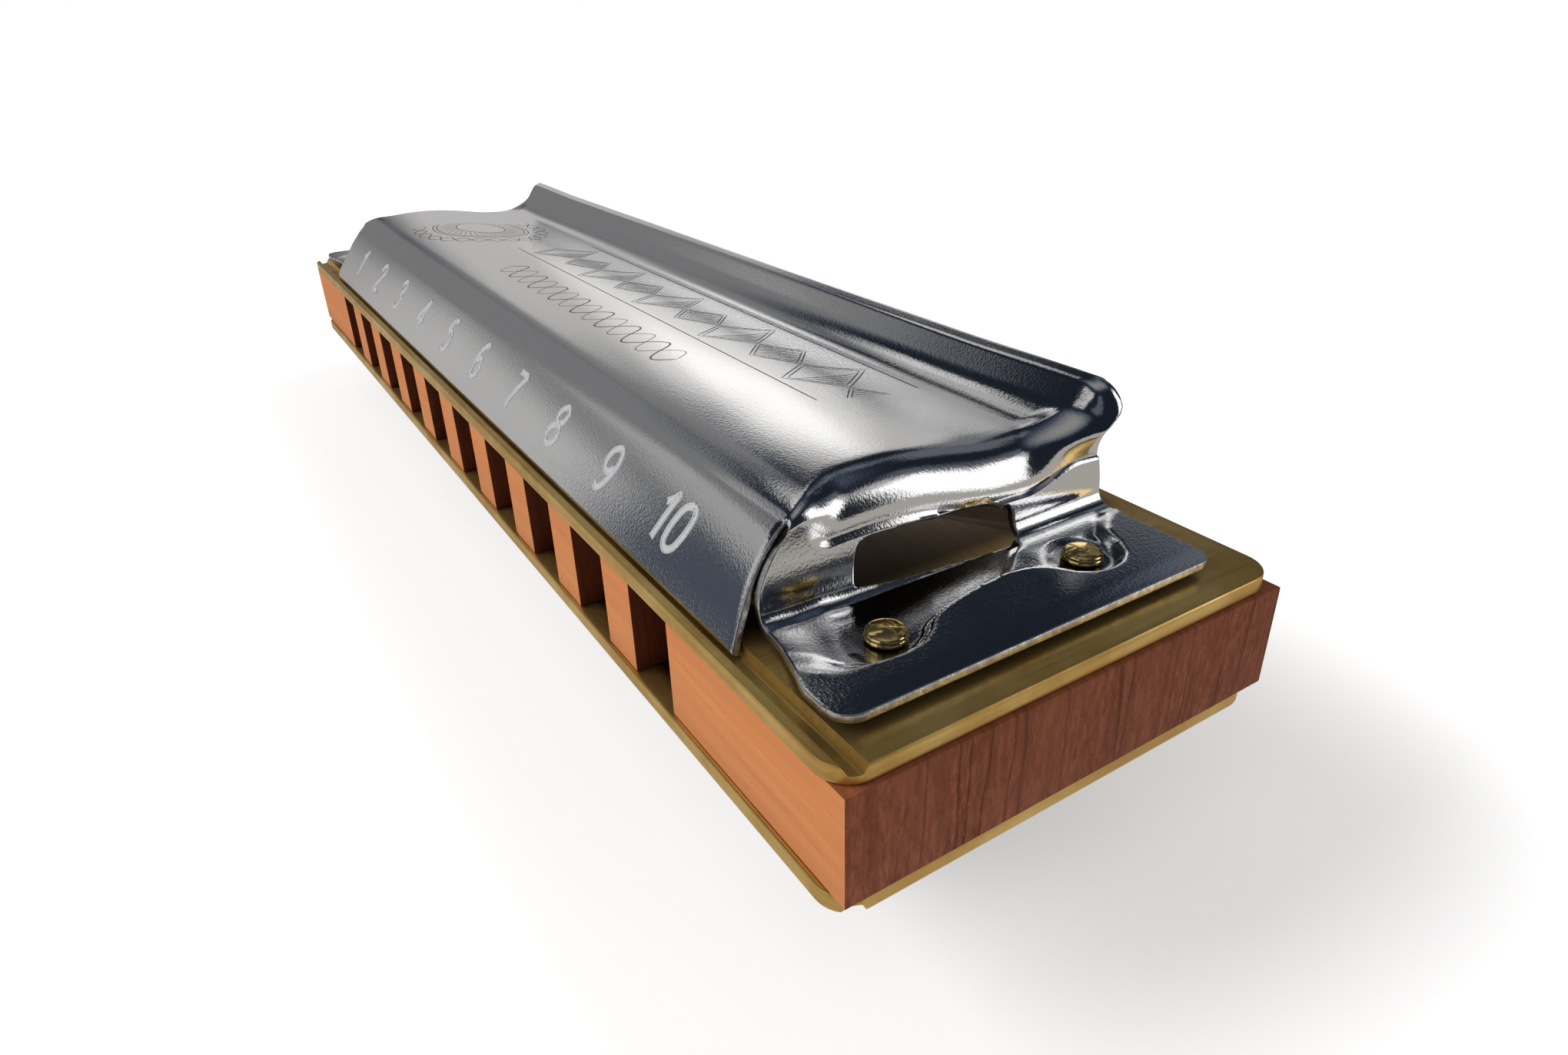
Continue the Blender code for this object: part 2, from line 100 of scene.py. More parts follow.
# ------------------------------------------------------------ small maths
def ease(t):
    t = np.clip(t, 0.0, 1.0)
    return t * t * (3 - 2 * t)


def catmull(points, steps):
    """A smooth open line through a few points."""
    pts = [np.array(p, float) for p in points]
    pts = [2 * pts[0] - pts[1], *pts, 2 * pts[-1] - pts[-2]]
    line = []
    for before, start, end, after in zip(pts, pts[1:], pts[2:], pts[3:]):
        for k in range(steps):
            t = k / steps
            line.append(0.5 * ((2 * start) + (end - before) * t
                               + (2 * before - 5 * start + 4 * end - after) * t * t
                               + (3 * start - before - 3 * end + after) * t ** 3))
    line.append(pts[-2])
    return np.array(line)


def inside_polygon(points, polygon):
    """Even-odd test of many points against one closed line."""
    x, y = points[:, 0], points[:, 1]
    inside = np.zeros(len(points), bool)
    for a, b in zip(polygon, np.roll(polygon, -1, axis=0)):
        spans = (a[1] > y) != (b[1] > y)
        with np.errstate(divide="ignore", invalid="ignore"):
            crossing = (b[0] - a[0]) * (y - a[1]) / (b[1] - a[1]) + a[0]
        inside ^= spans & (x < crossing)
    return inside


def signed_distance(x, y, polygon):
    """Distance to a closed line, negative inside."""
    polygon = np.array(polygon, float)
    points = np.stack([np.ravel(x), np.ravel(y)], 1)
    best = np.full(len(points), 1e9)
    for a, b in zip(polygon, np.roll(polygon, -1, axis=0)):
        edge = b - a
        t = np.clip(((points - a) @ edge) / (edge @ edge), 0, 1)
        best = np.minimum(best, np.hypot(*(points - a - t[:, None] * edge).T))
    return np.where(inside_polygon(points, polygon), -best, best).reshape(np.shape(x))


# ------------------------------------------------------------ shader helpers
class Nodes:
    """A short way to write shader trees."""

    def __init__(self, tree):
        self.tree = tree

    def plug(self, socket, value):
        if isinstance(value, bpy.types.NodeSocket):
            self.tree.links.new(value, socket)
        else:
            socket.default_value = value

    def new(self, kind, inputs=None, **settings):
        node = self.tree.nodes.new(kind)
        for key, value in settings.items():
            setattr(node, key, value)
        for key, value in (inputs or {}).items():
            self.plug(node.inputs[key], value)
        return node

    def math(self, operation, *values):
        node = self.new("ShaderNodeMath", dict(enumerate(values)), operation=operation)
        return node.outputs[0]

    def plus(self, a, b):
        return self.math("ADD", a, b)

    def minus(self, a, b):
        return self.math("SUBTRACT", a, b)

    def times(self, a, b):
        return self.math("MULTIPLY", a, b)

    def size(self, value):
        return self.math("ABSOLUTE", value)

    def separate(self, vector):
        return self.new("ShaderNodeSeparateXYZ", {0: vector}).outputs

    def combine(self, *parts):
        return self.new("ShaderNodeCombineXYZ", dict(enumerate(parts))).outputs[0]

    def span(self, value, over, to=(0.0, 1.0)):
        """Takes the range `over` smoothly to the range `to`."""
        inputs = {"Value": value, "From Min": over[0], "From Max": over[1],
                  "To Min": to[0], "To Max": to[1]}
        return self.new("ShaderNodeMapRange", inputs, interpolation_type="SMOOTHSTEP").outputs[0]

    def mix(self, share, first, second):
        first, second = ((*c, 1.0) if isinstance(c, tuple) else c for c in (first, second))
        node = self.new("ShaderNodeMix", data_type="RGBA")
        for key, value in ((0, share), (6, first), (7, second)):
            self.plug(node.inputs[key], value)
        return node.outputs[2]

    def mix_shader(self, share, first, second):
        return self.new("ShaderNodeMixShader", {0: share, 1: first, 2: second}).outputs[0]


class Look(Nodes):
    """A new material and what its textures need."""

    def __init__(self, name):
        self.material = bpy.data.materials.new(name)
        self.material.use_nodes = True
        super().__init__(self.material.node_tree)
        self.shader = self.tree.nodes["Principled BSDF"]
        self.coord = self.new("ShaderNodeTexCoord").outputs["Object"]

    def surface(self, inputs):
        for key, value in inputs.items():
            self.plug(self.shader.inputs[key], value)
        return self.material

    def geometry(self, output):
        return self.new("ShaderNodeNewGeometry").outputs[output]

    def noise(self, scale=1.0, detail=2.0, rough=0.5, stretch=None, offset=(0, 0, 0), at=None):
        vector = self.coord if at is None else at
        if stretch or any(offset):
            vector = self.new("ShaderNodeMapping", {
                "Scale": stretch or (1, 1, 1), "Location": offset, "Vector": vector}).outputs[0]
        node = self.new("ShaderNodeTexNoise", {
            "Vector": vector, "Scale": scale, "Detail": detail, "Roughness": rough})
        return node.outputs["Fac"]

    def ramp(self, value, stops):
        node = self.new("ShaderNodeValToRGB", {0: value})
        elements = node.color_ramp.elements
        while len(elements) < len(stops):
            elements.new(0.5)
        for element, (position, colour) in zip(elements, stops):
            element.position = position
            element.color = (*colour, 1.0)
        return node.outputs["Color"]

    def bump(self, height, distance, strength=1.0, over=None):
        inputs = {"Distance": distance, "Strength": strength, "Height": height}
        if over is not None:
            inputs["Normal"] = over
        return self.new("ShaderNodeBump", inputs).outputs[0]

    def layered(self, base, *layers):
        """base plus some of each layer: (texture, its range, amount)."""
        for texture, over, amount in layers:
            base = self.plus(base, self.times(self.span(texture, over), amount))
        return base


# ------------------------------------------------------------ metals
def steel_material():
    """Polished sheet, with painted shade darkening the pressed seats round the nails."""
    look = Look("cover_steel_finish")
    bright, streaked, seat_shade_colour = (0.82, 0.825, 0.835), (0.60, 0.60, 0.62), (0.07, 0.065, 0.07)
    streak = look.noise(stretch=(120, 2400, 2400), detail=3, rough=0.6)
    fine = look.noise(scale=6500, rough=0.6)
    patch = look.noise(scale=110, detail=3)
    tint = look.mix(look.span(patch, over=(0.35, 0.7), to=(0, 0.35)), bright,
                    tuple(c * 0.94 for c in bright))
    tint = look.mix(look.span(streak, over=(0.5, 0.78), to=(0, 0.06)), tint, streaked)
    rough = look.layered(0.09, (fine, (0.4, 0.75), 0.03), (streak, (0.5, 0.8), 0.02),
                         (patch, (0.5, 0.75), 0.02))
    normal = look.bump(look.noise(scale=150, detail=1.5, rough=0.4), distance=0.00001,
                       strength=0.3)
    normal = look.bump(look.noise(scale=7000, rough=0.6), distance=0.000007, over=normal)

    # painted shade: the base colour darkens round the nails, where the sheet is pressed low
    x, y, z = look.separate(look.coord)
    from_nail_x = look.minus(look.size(x), NAIL_X * MM)
    rings = []
    for nail_y in NAIL_YS:
        offset = look.combine(from_nail_x, look.minus(y, nail_y * MM))
        node = look.new("ShaderNodeVectorMath", {0: offset}, operation="LENGTH")
        rings.append(look.span(node.outputs["Value"], over=(0.00095, 0.0023), to=(1.0, 0.0)))
    seat_shade = look.math("MAXIMUM", *rings)
    low_down = look.span(look.size(z), over=(0.0045, 0.0049), to=(1.0, 0.0))
    uneven = look.span(patch, over=(0.2, 0.6), to=(0.35, 0.75))
    seat_shade = look.times(look.times(seat_shade, low_down), uneven)
    return look.surface({"Metallic": 1.0, "Base Color": look.mix(seat_shade, tint, seat_shade_colour),
                         "Roughness": rough, "Normal": normal})


def dull_steel_material():
    """The unpolished, rougher inside of the sheet, its colour darkened nearly to black as painted
    shade under the cover.
    """
    look = Look("cover_inside_painted_shade")
    # painted shade: near-black colours stand for the shade inside the cover
    dark, light = (0.07, 0.062, 0.052), (0.12, 0.11, 0.095)
    cloud = look.noise(scale=260, detail=3, rough=0.6)
    fine = look.noise(scale=3000, rough=0.6)
    return look.surface({
        "Metallic": 1.0,
        "Base Color": look.mix(cloud, dark, light),
        "Roughness": look.span(fine, over=(0.3, 0.7), to=(0.34, 0.5)),
        "Normal": look.bump(fine, distance=0.00001, strength=0.5)})


def cut_edge_material():
    """The sheared edge of the sheet: bright, rough and a little torn."""
    look = Look("cover_edge_finish")
    bright, torn = (0.90, 0.90, 0.91), (0.62, 0.60, 0.57)
    tear = look.noise(scale=2600, detail=3, rough=0.65)
    return look.surface({
        "Metallic": 1.0,
        "Base Color": look.mix(look.span(tear, over=(0.35, 0.7)), bright, torn),
        "Roughness": look.span(tear, over=(0.3, 0.7), to=(0.24, 0.42)),
        "Normal": look.bump(tear, distance=0.00004, strength=0.9)})


def brass_material(name, light, dark, rough, brush=(60, 1800, 1800), tarnish=0.5, covered=False,
                   metallic=1.0):
    """Brushed brass.  covered adds what differs under and beyond the covers."""
    look = Look(name)
    specked, browned_and_shaded = (0.20, 0.12, 0.045), (0.110, 0.050, 0.006)
    streak = look.noise(stretch=brush, detail=4, rough=0.65)
    if covered:
        # past the covers' ends the plate is brushed across its length
        x, y, _ = look.separate(look.coord)
        across = look.noise(stretch=(brush[1], brush[0], brush[2]), detail=4, rough=0.65)
        ends = look.times(look.span(look.size(x), over=(0.0425, 0.0430)),
                          look.span(look.size(y), over=(0.0116, 0.0118), to=(1.0, 0.0)))
        streak = look.plus(look.times(streak, look.minus(1.0, ends)), look.times(across, ends))
    cloud = look.noise(scale=160, detail=4, rough=0.6)
    speck = look.noise(scale=2400, rough=0.6)
    tone = look.mix(look.span(cloud, over=(0.32, 0.68)), light, dark)
    tone = look.mix(look.times(look.span(streak, over=(0.4, 0.75)), 0.55), tone,
                    tuple(c * 0.62 for c in dark))
    tone = look.mix(look.times(look.span(speck, over=(0.62, 0.8)), 0.4 * tarnish), tone, specked)
    if covered:
        # what lies under the covers is browned by air and breath, and darkened further as painted
        # shade
        x, y, _ = look.separate(look.coord)
        under = look.times(look.span(look.size(x), over=(0.0405, 0.0425), to=(1.0, 0.0)),
                           look.span(look.size(y), over=(0.0112, 0.0122), to=(1.0, 0.0)))
        tone = look.mix(look.times(under, 1.0), tone, browned_and_shaded)
    normal = look.bump(streak, distance=0.000008, strength=0.6)
    return look.surface({
        "Metallic": metallic,
        "Base Color": tone,
        "Roughness": look.layered(rough, (streak, (0.35, 0.8), 0.14), (cloud, (0.4, 0.7), 0.06)),
        "Normal": look.bump(speck, distance=0.000006, strength=0.4, over=normal)})


def nail_material():
    """Bright brass, dented and scratched."""
    look = Look("nail_brass_finish")
    light, deep, scored = (1.0, 0.75, 0.30), (0.90, 0.60, 0.19), (0.16, 0.09, 0.03)
    scratch = look.noise(stretch=(300, 4200, 600))
    crossing = look.noise(stretch=(2600, 500, 900), offset=(0.01, 0.02, 0))
    cloud = look.noise(scale=900, detail=3, rough=0.6)
    tone = look.mix(look.span(cloud, over=(0.35, 0.7)), light, deep)
    marks = look.math("MAXIMUM", look.span(scratch, over=(0.60, 0.70)),
                      look.span(crossing, over=(0.62, 0.72)))
    dents = look.bump(look.noise(scale=1000, detail=1, rough=0.4), distance=0.00011, strength=0.9)
    return look.surface({
        "Metallic": 0.97,
        "Base Color": look.mix(look.times(marks, 0.75), tone, scored),
        "Roughness": look.plus(0.09, look.times(marks, 0.2)),
        "Normal": look.bump(marks, distance=0.00003, strength=0.8, over=dents)})


def engraved_material():
    look = Look("engraved_line_finish")
    light, dark = (0.20, 0.195, 0.19), (0.10, 0.095, 0.095)
    grain = look.noise(scale=4000, rough=0.6)
    return look.surface({
        "Metallic": 0.7,
        "Base Color": look.mix(grain, light, dark),
        "Roughness": look.span(grain, over=(0.3, 0.7), to=(0.42, 0.6)),
        "Normal": look.bump(grain, distance=0.00001, strength=0.5)})


def number_material():
    """Pebbled steel of the hole numbers."""
    look = Look("number_steel_finish")
    light, dark = (0.90, 0.91, 0.93), (0.62, 0.63, 0.65)
    grain = look.noise(scale=9000, rough=0.6)
    cells = look.new("ShaderNodeTexVoronoi", {"Vector": look.coord, "Scale": 8500})
    pebbles = look.bump(cells.outputs["Distance"], distance=0.00003, strength=0.8)
    return look.surface({
        "Metallic": 0.5,
        "Base Color": look.mix(grain, light, dark),
        "Roughness": look.span(grain, over=(0.3, 0.7), to=(0.22, 0.42)),
        "Normal": look.bump(grain, distance=0.00001, strength=0.5, over=pebbles)})


# ------------------------------------------------------------ wood
def long_face_tone(look, fibre, pore):
    slow = look.noise(stretch=(22, 160, 260))
    tone = look.ramp(fibre, [(0.28, (0.475, 0.170, 0.056)), (0.5, (0.53, 0.195, 0.064)),
                             (0.74, (0.58, 0.228, 0.078))])
    tone = look.mix(look.span(slow, over=(0.3, 0.75), to=(0.0, 0.5)), tone, (0.47, 0.158, 0.048))
    return look.mix(look.span(pore, over=(0.63, 0.8), to=(0.0, 0.45)), tone, (0.33, 0.10, 0.03))


def end_grain_tone(look, rings, line, dots):
    """Uneven vertical lines over a fine mottle, with pale flecks."""
    seam = look.noise(scale=620, detail=1, rough=0.4, offset=(0.013, 0, 0), at=line)
    broad = look.noise(stretch=(60, 190, 70))
    mottle = look.noise(stretch=(400, 4200, 1100), detail=3, rough=0.65)
    tone = look.ramp(mottle, [(0.30, (0.150, 0.042, 0.020)), (0.5, (0.222, 0.066, 0.032)),
                              (0.70, (0.300, 0.098, 0.049))])
    ring_share = look.span(rings, over=(0.42, 0.66), to=(0.0, 0.42))
    tone = look.mix(ring_share, tone, (0.100, 0.028, 0.014))
    seam_share = look.span(look.size(look.minus(seam, 0.5)), over=(0.0, 0.022), to=(1.0, 0.0))
    tone = look.mix(look.times(seam_share, 0.6), tone, (0.030, 0.008, 0.005))
    broad_share = look.span(broad, over=(0.35, 0.7), to=(0.0, 0.45))
    tone = look.mix(broad_share, tone, (0.210, 0.068, 0.036))
    return look.mix(look.span(dots, over=(0.58, 0.74), to=(0.0, 0.35)), tone, (0.26, 0.11, 0.07))


def wood_material():
    """Fruit wood with its grain along X: the long faces are warm and even, the
    end grain is darker and finely lined."""
    look = Look("comb_wood_finish")
    facing = look.separate(look.geometry("Normal"))
    x, y, z = look.separate(look.coord)
    end = look.span(look.size(facing[0]), over=(0.55, 0.85))
    fibre = look.noise(stretch=(70, 900, 1900), detail=5, rough=0.62)
    pore = look.noise(stretch=(420, 5200, 5200))
    # the end's lines vary along a bent Y and hardly at all along the others
    warp = look.plus(look.times(look.noise(scale=130), 0.0011),
                     look.times(look.noise(scale=700, rough=0.6), 0.00016))
    line = look.combine(look.plus(y, warp), look.times(z, 0.05), look.times(x, 0.05))
    rings = look.noise(scale=1150, rough=0.6, at=line)
    dots = look.noise(scale=5200, rough=0.6)
    face_tone = long_face_tone(look, fibre, pore)
    end_tone = end_grain_tone(look, rings, line, dots)
    # the upper and lower faces are stained dark too
    flat = look.times(look.span(look.size(facing[2]), over=(0.25, 0.6)), 0.85)
    end = look.math("MAXIMUM", end, flat)
    # painted shade: the walls inside the channels are darkened
    inner = look.span(look.size(x), over=(0.0495, 0.0500), to=(1.0, 0.0))
    end_tone = look.mix(look.times(inner, 0.8), end_tone, (0.072, 0.013, 0.003))
    normal = look.bump(look.mix(end, fibre, rings), distance=0.00004, strength=0.5)
    return look.surface({
        "Base Color": look.mix(end, face_tone, end_tone),
        "Roughness": look.span(fibre, over=(0.3, 0.7), to=(0.55, 0.7)),
        "Specular IOR Level": look.span(end, over=(0, 1), to=(0.22, 0.08)),
        "Normal": look.bump(look.mix(end, pore, dots), distance=0.00002, strength=0.35,
                            over=normal)})


# ------------------------------------------------------------ mesh helpers
def smooth_below(mesh, degrees):
    mesh.shade_smooth()
    mesh.set_sharp_from_angle(angle=math.radians(degrees))


def add_mesh(name, verts, faces, mats, smooth=None, body="frame", slot=None, replaces=None,
             face_mats=None):
    """An object from points in millimetres; edges sharper than smooth degrees stay sharp."""
    mesh = bpy.data.meshes.new(name)
    points = (np.asarray(verts, float) * MM).tolist()
    mesh.from_pydata(points, [], [tuple(int(i) for i in face) for face in faces])
    for mat in (mats if isinstance(mats, tuple) else (mats,)):
        mesh.materials.append(mat)
    if face_mats is not None:
        mesh.polygons.foreach_set("material_index", np.asarray(face_mats, np.int32))
    bm = bmesh.new()
    bm.from_mesh(mesh)
    bmesh.ops.recalc_face_normals(bm, faces=bm.faces)
    if bm.calc_volume(signed=True) < 0:
        bmesh.ops.reverse_faces(bm, faces=bm.faces)
    bm.to_mesh(mesh)
    bm.free()
    if smooth is not None:
        smooth_below(mesh, smooth)
    ob = bpy.data.objects.new(name, mesh)
    bpy.context.scene.collection.objects.link(ob)
    if body:
        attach(ob, body)
    if replaces:
        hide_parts(replaces)
    return ob


def fill(loops):
    """Triangles of a flat region with holes: loops[0] is the outline."""
    points, edges = [], []
    for loop in loops:
        start, count = len(points), len(loop)
        points += [Vector(p) for p in loop]
        edges += [(start + i, start + (i + 1) % count) for i in range(count)]
    coords, _, tris, originals = delaunay_2d_cdt(points, edges, [], 0, 1e-7)[:4]
    centres = np.array([[sum(coords[i][axis] for i in tri) / 3 for axis in (0, 1)]
                        for tri in tris])
    keep = inside_polygon(centres, np.array(loops[0]))
    for hole in loops[1:]:
        keep &= ~inside_polygon(centres, np.array(hole))
    return [[originals[i][0] for i in tri] for tri, kept in zip(tris, keep) if kept]


def rounded_slab(name, loops_at, z_low, z_high, edge, mat, steps, **kw):
    """A flat part whose long edges are rounded.  loops_at(inset) gives its outline
    and holes with every edge moved that far into the material."""
    levels = []
    for k in range(steps + 1):
        angle = math.pi / 2 * k / steps
        levels.append((edge * (1 - math.sin(angle)), z_low + edge * (1 - math.cos(angle))))
    levels += [(inset, z_low + z_high - z) for inset, z in reversed(levels)]
    verts, faces, rings = [], [], []
    for inset, z in levels:
        ids = []
        for loop in loops_at(inset):
            ids.append(list(range(len(verts), len(verts) + len(loop))))
            verts += [(x, y, z) for x, y in loop]
        rings.append(ids)
    for lower, upper in zip(rings, rings[1:]):
        for a, b in zip(lower, upper):
            n = len(a)
            faces += [(a[i], a[(i + 1) % n], b[(i + 1) % n], b[i]) for i in range(n)]
    tris = fill(loops_at(levels[0][0]))
    bottom, top = ([i for loop in ids for i in loop] for ids in (rings[0], rings[-1]))
    faces += [tuple(bottom[i] for i in reversed(tri)) for tri in tris]
    faces += [tuple(top[i] for i in tri) for tri in tris]
    return add_mesh(name, verts, faces, mat, smooth=38, **kw)


def circle(x, y, radius, sides):
    return [(x + radius * math.cos(2 * math.pi * i / sides),
             y + radius * math.sin(2 * math.pi * i / sides)) for i in range(sides)]


def round_box(x0, x1, y0, y1, radius, steps):
    """A rectangle with round corners."""
    outline = []
    for x, y, start in ((x1 - radius, y1 - radius, 0), (x0 + radius, y1 - radius, 90),
                        (x0 + radius, y0 + radius, 180), (x1 - radius, y0 + radius, 270)):
        for k in range(steps + 1):
            angle = math.radians(start + 90 * k / steps)
            outline.append((x + radius * math.cos(angle), y + radius * math.sin(angle)))
    return outline


def turned(node, profile, sides, mat, flip=False, uneven=0.0, smooth=32, **kw):
    """A part of revolution in a node's place; profile holds (radius, z)."""
    cx, cy, _ = middle_mm(node)
    verts, rings, faces = [], [], []
    for radius, z in profile:
        z = -z if flip else z
        ring = circle(cx, cy, radius, sides) if radius >= 1e-6 else [(cx, cy)]
        rings.append(list(range(len(verts), len(verts) + len(ring))))
        verts += [(x, y, z) for x, y in ring]
    for a, b in zip(rings, rings[1:]):
        for i in range(sides):
            j = (i + 1) % sides
            if len(a) == 1:
                faces.append((a[0], b[i], b[j]))
            elif len(b) == 1:
                faces.append((a[i], b[0], a[j]))
            else:
                faces.append((a[i], b[i], b[j], a[j]))
    verts = np.array(verts)
    if uneven:
        x, y = verts[:, 0] - cx, verts[:, 1] - cy
        angle = np.arctan2(y, x)
        phase = RNG.uniform(0, 6.28, 3)
        push = uneven * sum(np.sin(lobes * angle + shift) * share for lobes, shift, share
                            in zip((2, 3, 5), phase, (0.5, 0.3, 0.2)))
        scale = 1 + push * (np.hypot(x, y) > 0.3)
        verts[:, 0] = cx + x * scale
        verts[:, 1] = cy + y * scale
    return add_mesh(node + "_finish", verts, faces, mat, smooth=smooth, replaces=node, **kw)


# ============================================================ the cover's section
PROFILE_STEP = 0.22
PROFILE_START = (-12.18, 3.60, math.radians(60.0))   # y, z, heading
# Runs of the section from front to rear: (length of a line or radius of an arc, degrees
# turned, name of the run's end).  A run that doesn't turn is a line.
PROFILE_RUNS = [
    (1.0, 0, ""), (25, -9, ""), (4.0, -15, "slit"), (4.0, -28, ""), (24, -17, ""), (3.0, 0, ""),
    (20, 9, ""), (0.55, 0, ""), (2.9, 52, ""), (0.75, 0, "crest"), (1.5, -52, ""),
    (1.15, -60, "back"), (1.15, -80, ""), (0.75, -40, "")]


def walk_profile():
    """Outside of the cover across the instrument: (y, z, heading, distance)."""
    y, z, heading = PROFILE_START
    distance = 0.0
    points, marks = [(y, z, heading, 0.0)], {}
    for size, turn, mark in PROFILE_RUNS:
        length = size * abs(math.radians(turn)) if turn else size
        step = PROFILE_STEP
        if turn and size <= 5:
            step = 0.16 if size < 2 else 0.2
        steps = max(2, int(math.ceil(length / step)))
        turn_step = math.radians(turn) / steps
        chord = 2 * size * math.sin(abs(turn_step) / 2) if turn else length / steps
        for _ in range(steps):
            y += chord * math.cos(heading + turn_step / 2)
            z += chord * math.sin(heading + turn_step / 2)
            heading += turn_step
            distance += length / steps
            points.append((y, z, heading, distance))
        if mark:
            marks[mark] = len(points) - 1
    return np.array(points), marks


PROFILE, MARKS = walk_profile()
SLIT, CREST, BACK = (MARKS[mark] for mark in ("slit", "crest", "back"))


def ripple(x, y):
    """Hand-stamped sheet is never quite flat."""
    return 0.005 * np.sin(x * 0.17 + 0.6) * np.sin(y * 0.5) * ease((40.5 - np.abs(x)) / 3)


def on_cover(x, up, lift):
    """A point on the cover's outside, up millimetres along it from its front edge."""
    y, z, heading = (np.interp(up, PROFILE[:, 3], PROFILE[:, k]) for k in range(3))
    return np.array([x, y - math.sin(heading) * lift,
                     z + math.cos(heading) * lift + float(ripple(x, y))])


# ============================================================ the covers' ends
# Zones of the flange at the right end, in plan (x, y): the part pressed lowest, and all
# that lies inside the raised rim.
LOW_ZONE = [
    (41.0, -5.55), (42.04, -6.26), (42.52, -7.1), (43.22, -7.59), (43.92, -8.02), (44.74, -8.39),
    (45.44, -8.56), (46.08, -8.35), (46.51, -8.0), (46.77, -7.52), (46.86, -6.91), (46.81, -6.32),
    (46.67, -5.78), (46.27, -5.16), (45.78, -4.64), (45.54, -4.22), (45.32, -3.64), (45.11, -2.7),
    (44.96, -1.95), (44.85, -1.23), (44.78, -0.52), (44.71, 0.19), (44.6, 0.74), (44.28, 1.26),
    (43.47, 2.29), (42.81, 3.18), (42.2, 3.9), (41.0, 4.0)]
WHOLE_ZONE = [
    (38.0, -14.0), (44.2, -14.0), (44.75, -11.2), (45.37, -10.32), (45.95, -9.88), (46.4, -9.35),
    (46.75, -8.7), (46.95, -7.8), (46.98, -6.9), (46.85, -6.1), (46.27, -5.16), (45.78, -4.64),
    (45.54, -4.22), (45.32, -3.64), (45.11, -2.7), (44.96, -1.95), (44.85, -1.23), (44.78, -0.52),
    (44.73, 0.19), (44.72, 0.8), (44.8, 1.45), (44.98, 2.3), (45.3, 2.95), (45.8, 3.36),
    (46.35, 3.7), (46.8, 4.3), (46.95, 5.1), (46.85, 5.9), (46.45, 6.55), (45.6, 7.1), (44.8, 7.35),
    (44.3, 7.6), (43.6, 8.4), (43.1, 9.3), (42.9, 11.5), (38.0, 12.0)]
# The slot in the end wall: its sides and top in (y, z) on the wall ...
VENT = catmull([
    (-5.66, 3.0), (-5.66, 4.47), (-5.66, 5.02), (-5.62, 5.56), (-5.5, 6.2), (-5.25, 6.62),
    (-4.8, 6.78), (-4.0, 6.81), (-2.6, 6.76), (-1.2, 6.66), (0.4, 6.52), (2.0, 6.32), (3.3, 6.12),
    (3.78, 5.95), (3.98, 5.6), (4.06, 5.1), (4.12, 4.6), (4.12, 3.0)], 4)
VENT = np.concatenate([VENT, [(4.12, 2.0), (-5.66, 2.0)]])
# ... and its lower edge, out along the foot of the wall: (y, x).
VENT_FOOT = np.array([
    (-5.7, 41.86), (-5.05, 41.9), (-3.9, 42.0), (-2.0, 42.12), (-0.1, 42.24), (1.7, 42.38),
    (3.25, 42.45), (4.2, 42.1)])

WALL_TOP_X, WALL_FOOT_X = 41.35, 41.78
WALL_FOOT_RADIUS = 0.75
WALL_FRONT_SHIFT = -1.95              # the wall's foot spreads forward of its top by this
WALL_REAR_Y = 10.2                    # and its rear edge comes down to this line
RIDGE_FADE_X = 38.9                   # the ridge falls away from here to the wall
FLANGE_FRONT, FLANGE_REAR, FLANGE_REACH = -11.75, 9.7, 49.3
FLANGE_FRONT_RADIUS, FLANGE_REAR_RADIUS = 1.25, 0.9
ARC_STEPS, WALL_STEPS, FOOT_STEPS, FLANGE_STEPS = 14, 16, 9, 64
FLAT_POINTS = 30                      # points from the middle to the start of the end


def flange_height(x, y):
    """How high the stamped flange stands over the plate: pressed right down
    round the front nail and in front of the vent, a little less beside the
    wall, and raised outside the crease."""
    x, y = np.broadcast_arrays(np.asarray(x, float), np.asarray(y, float))
    rim_width = (0.28 + 1.7 * ease((-8.3 - y) / 2.2) + 0.45 * ease((y - 1.5) / 1.6)
                 + 0.5 * ease((y - 7.4) / 1.0))
    rim = ease(signed_distance(x, y, WHOLE_ZONE) / rim_width + 0.5)
    beside_wall = (0.13 + 0.10 * ease((-8.8 - y) / 1.8)
                   + 0.07 * ease((y - 2.0) / 1.5) * ease((44.8 - x) / 2.0))
    step_width = 0.34 + 0.8 * ease((-5.0 - y) / 1.2)
    step = ease(signed_distance(x, y, LOW_ZONE) / step_width + 0.5)
    rear_seat = ease((np.hypot(x - NAIL_X, y - NAIL_YS[1]) - 1.18) / 0.75)
    height = beside_wall + (FLANGE_LIFT - beside_wall) * rim
    return height * np.maximum(step, rim) * rear_seat - 0.04 * rim * ease((x - 47.9) / 1.4)


def fin_outline(x):
    """The ridge's height along the instrument, 1 until it nears its end."""
    t = np.clip((x - RIDGE_FADE_X) / (WALL_TOP_X - RIDGE_FADE_X), 0, 1)
    return (1 - t ** 2.6) ** (1 / 2.6)


def flange_row(x_foot, y_foot, z_foot, share):
    """Points from the foot of the wall out to the flange's rim."""
    t = np.arange(1, FLANGE_STEPS + 1) / FLANGE_STEPS
    y = y_foot - (1 - share) * 1.1 * ease(t / 0.8) - share * 0.5 * ease(4 * t)
    reach = FLANGE_REACH
    for radius, inset in ((FLANGE_FRONT_RADIUS, y - FLANGE_FRONT),
                          (FLANGE_REAR_RADIUS, FLANGE_REAR - y)):
        into = np.clip(radius - inset, 0, radius)
        reach = np.minimum(reach, FLANGE_REACH - radius + np.sqrt(radius ** 2 - into ** 2))
    x = x_foot + t * (reach - x_foot)
    settle = ease(t * 9)
    z = (SEAT + flange_height(x, y)) * settle + z_foot * (1 - settle)
    return x, y, z


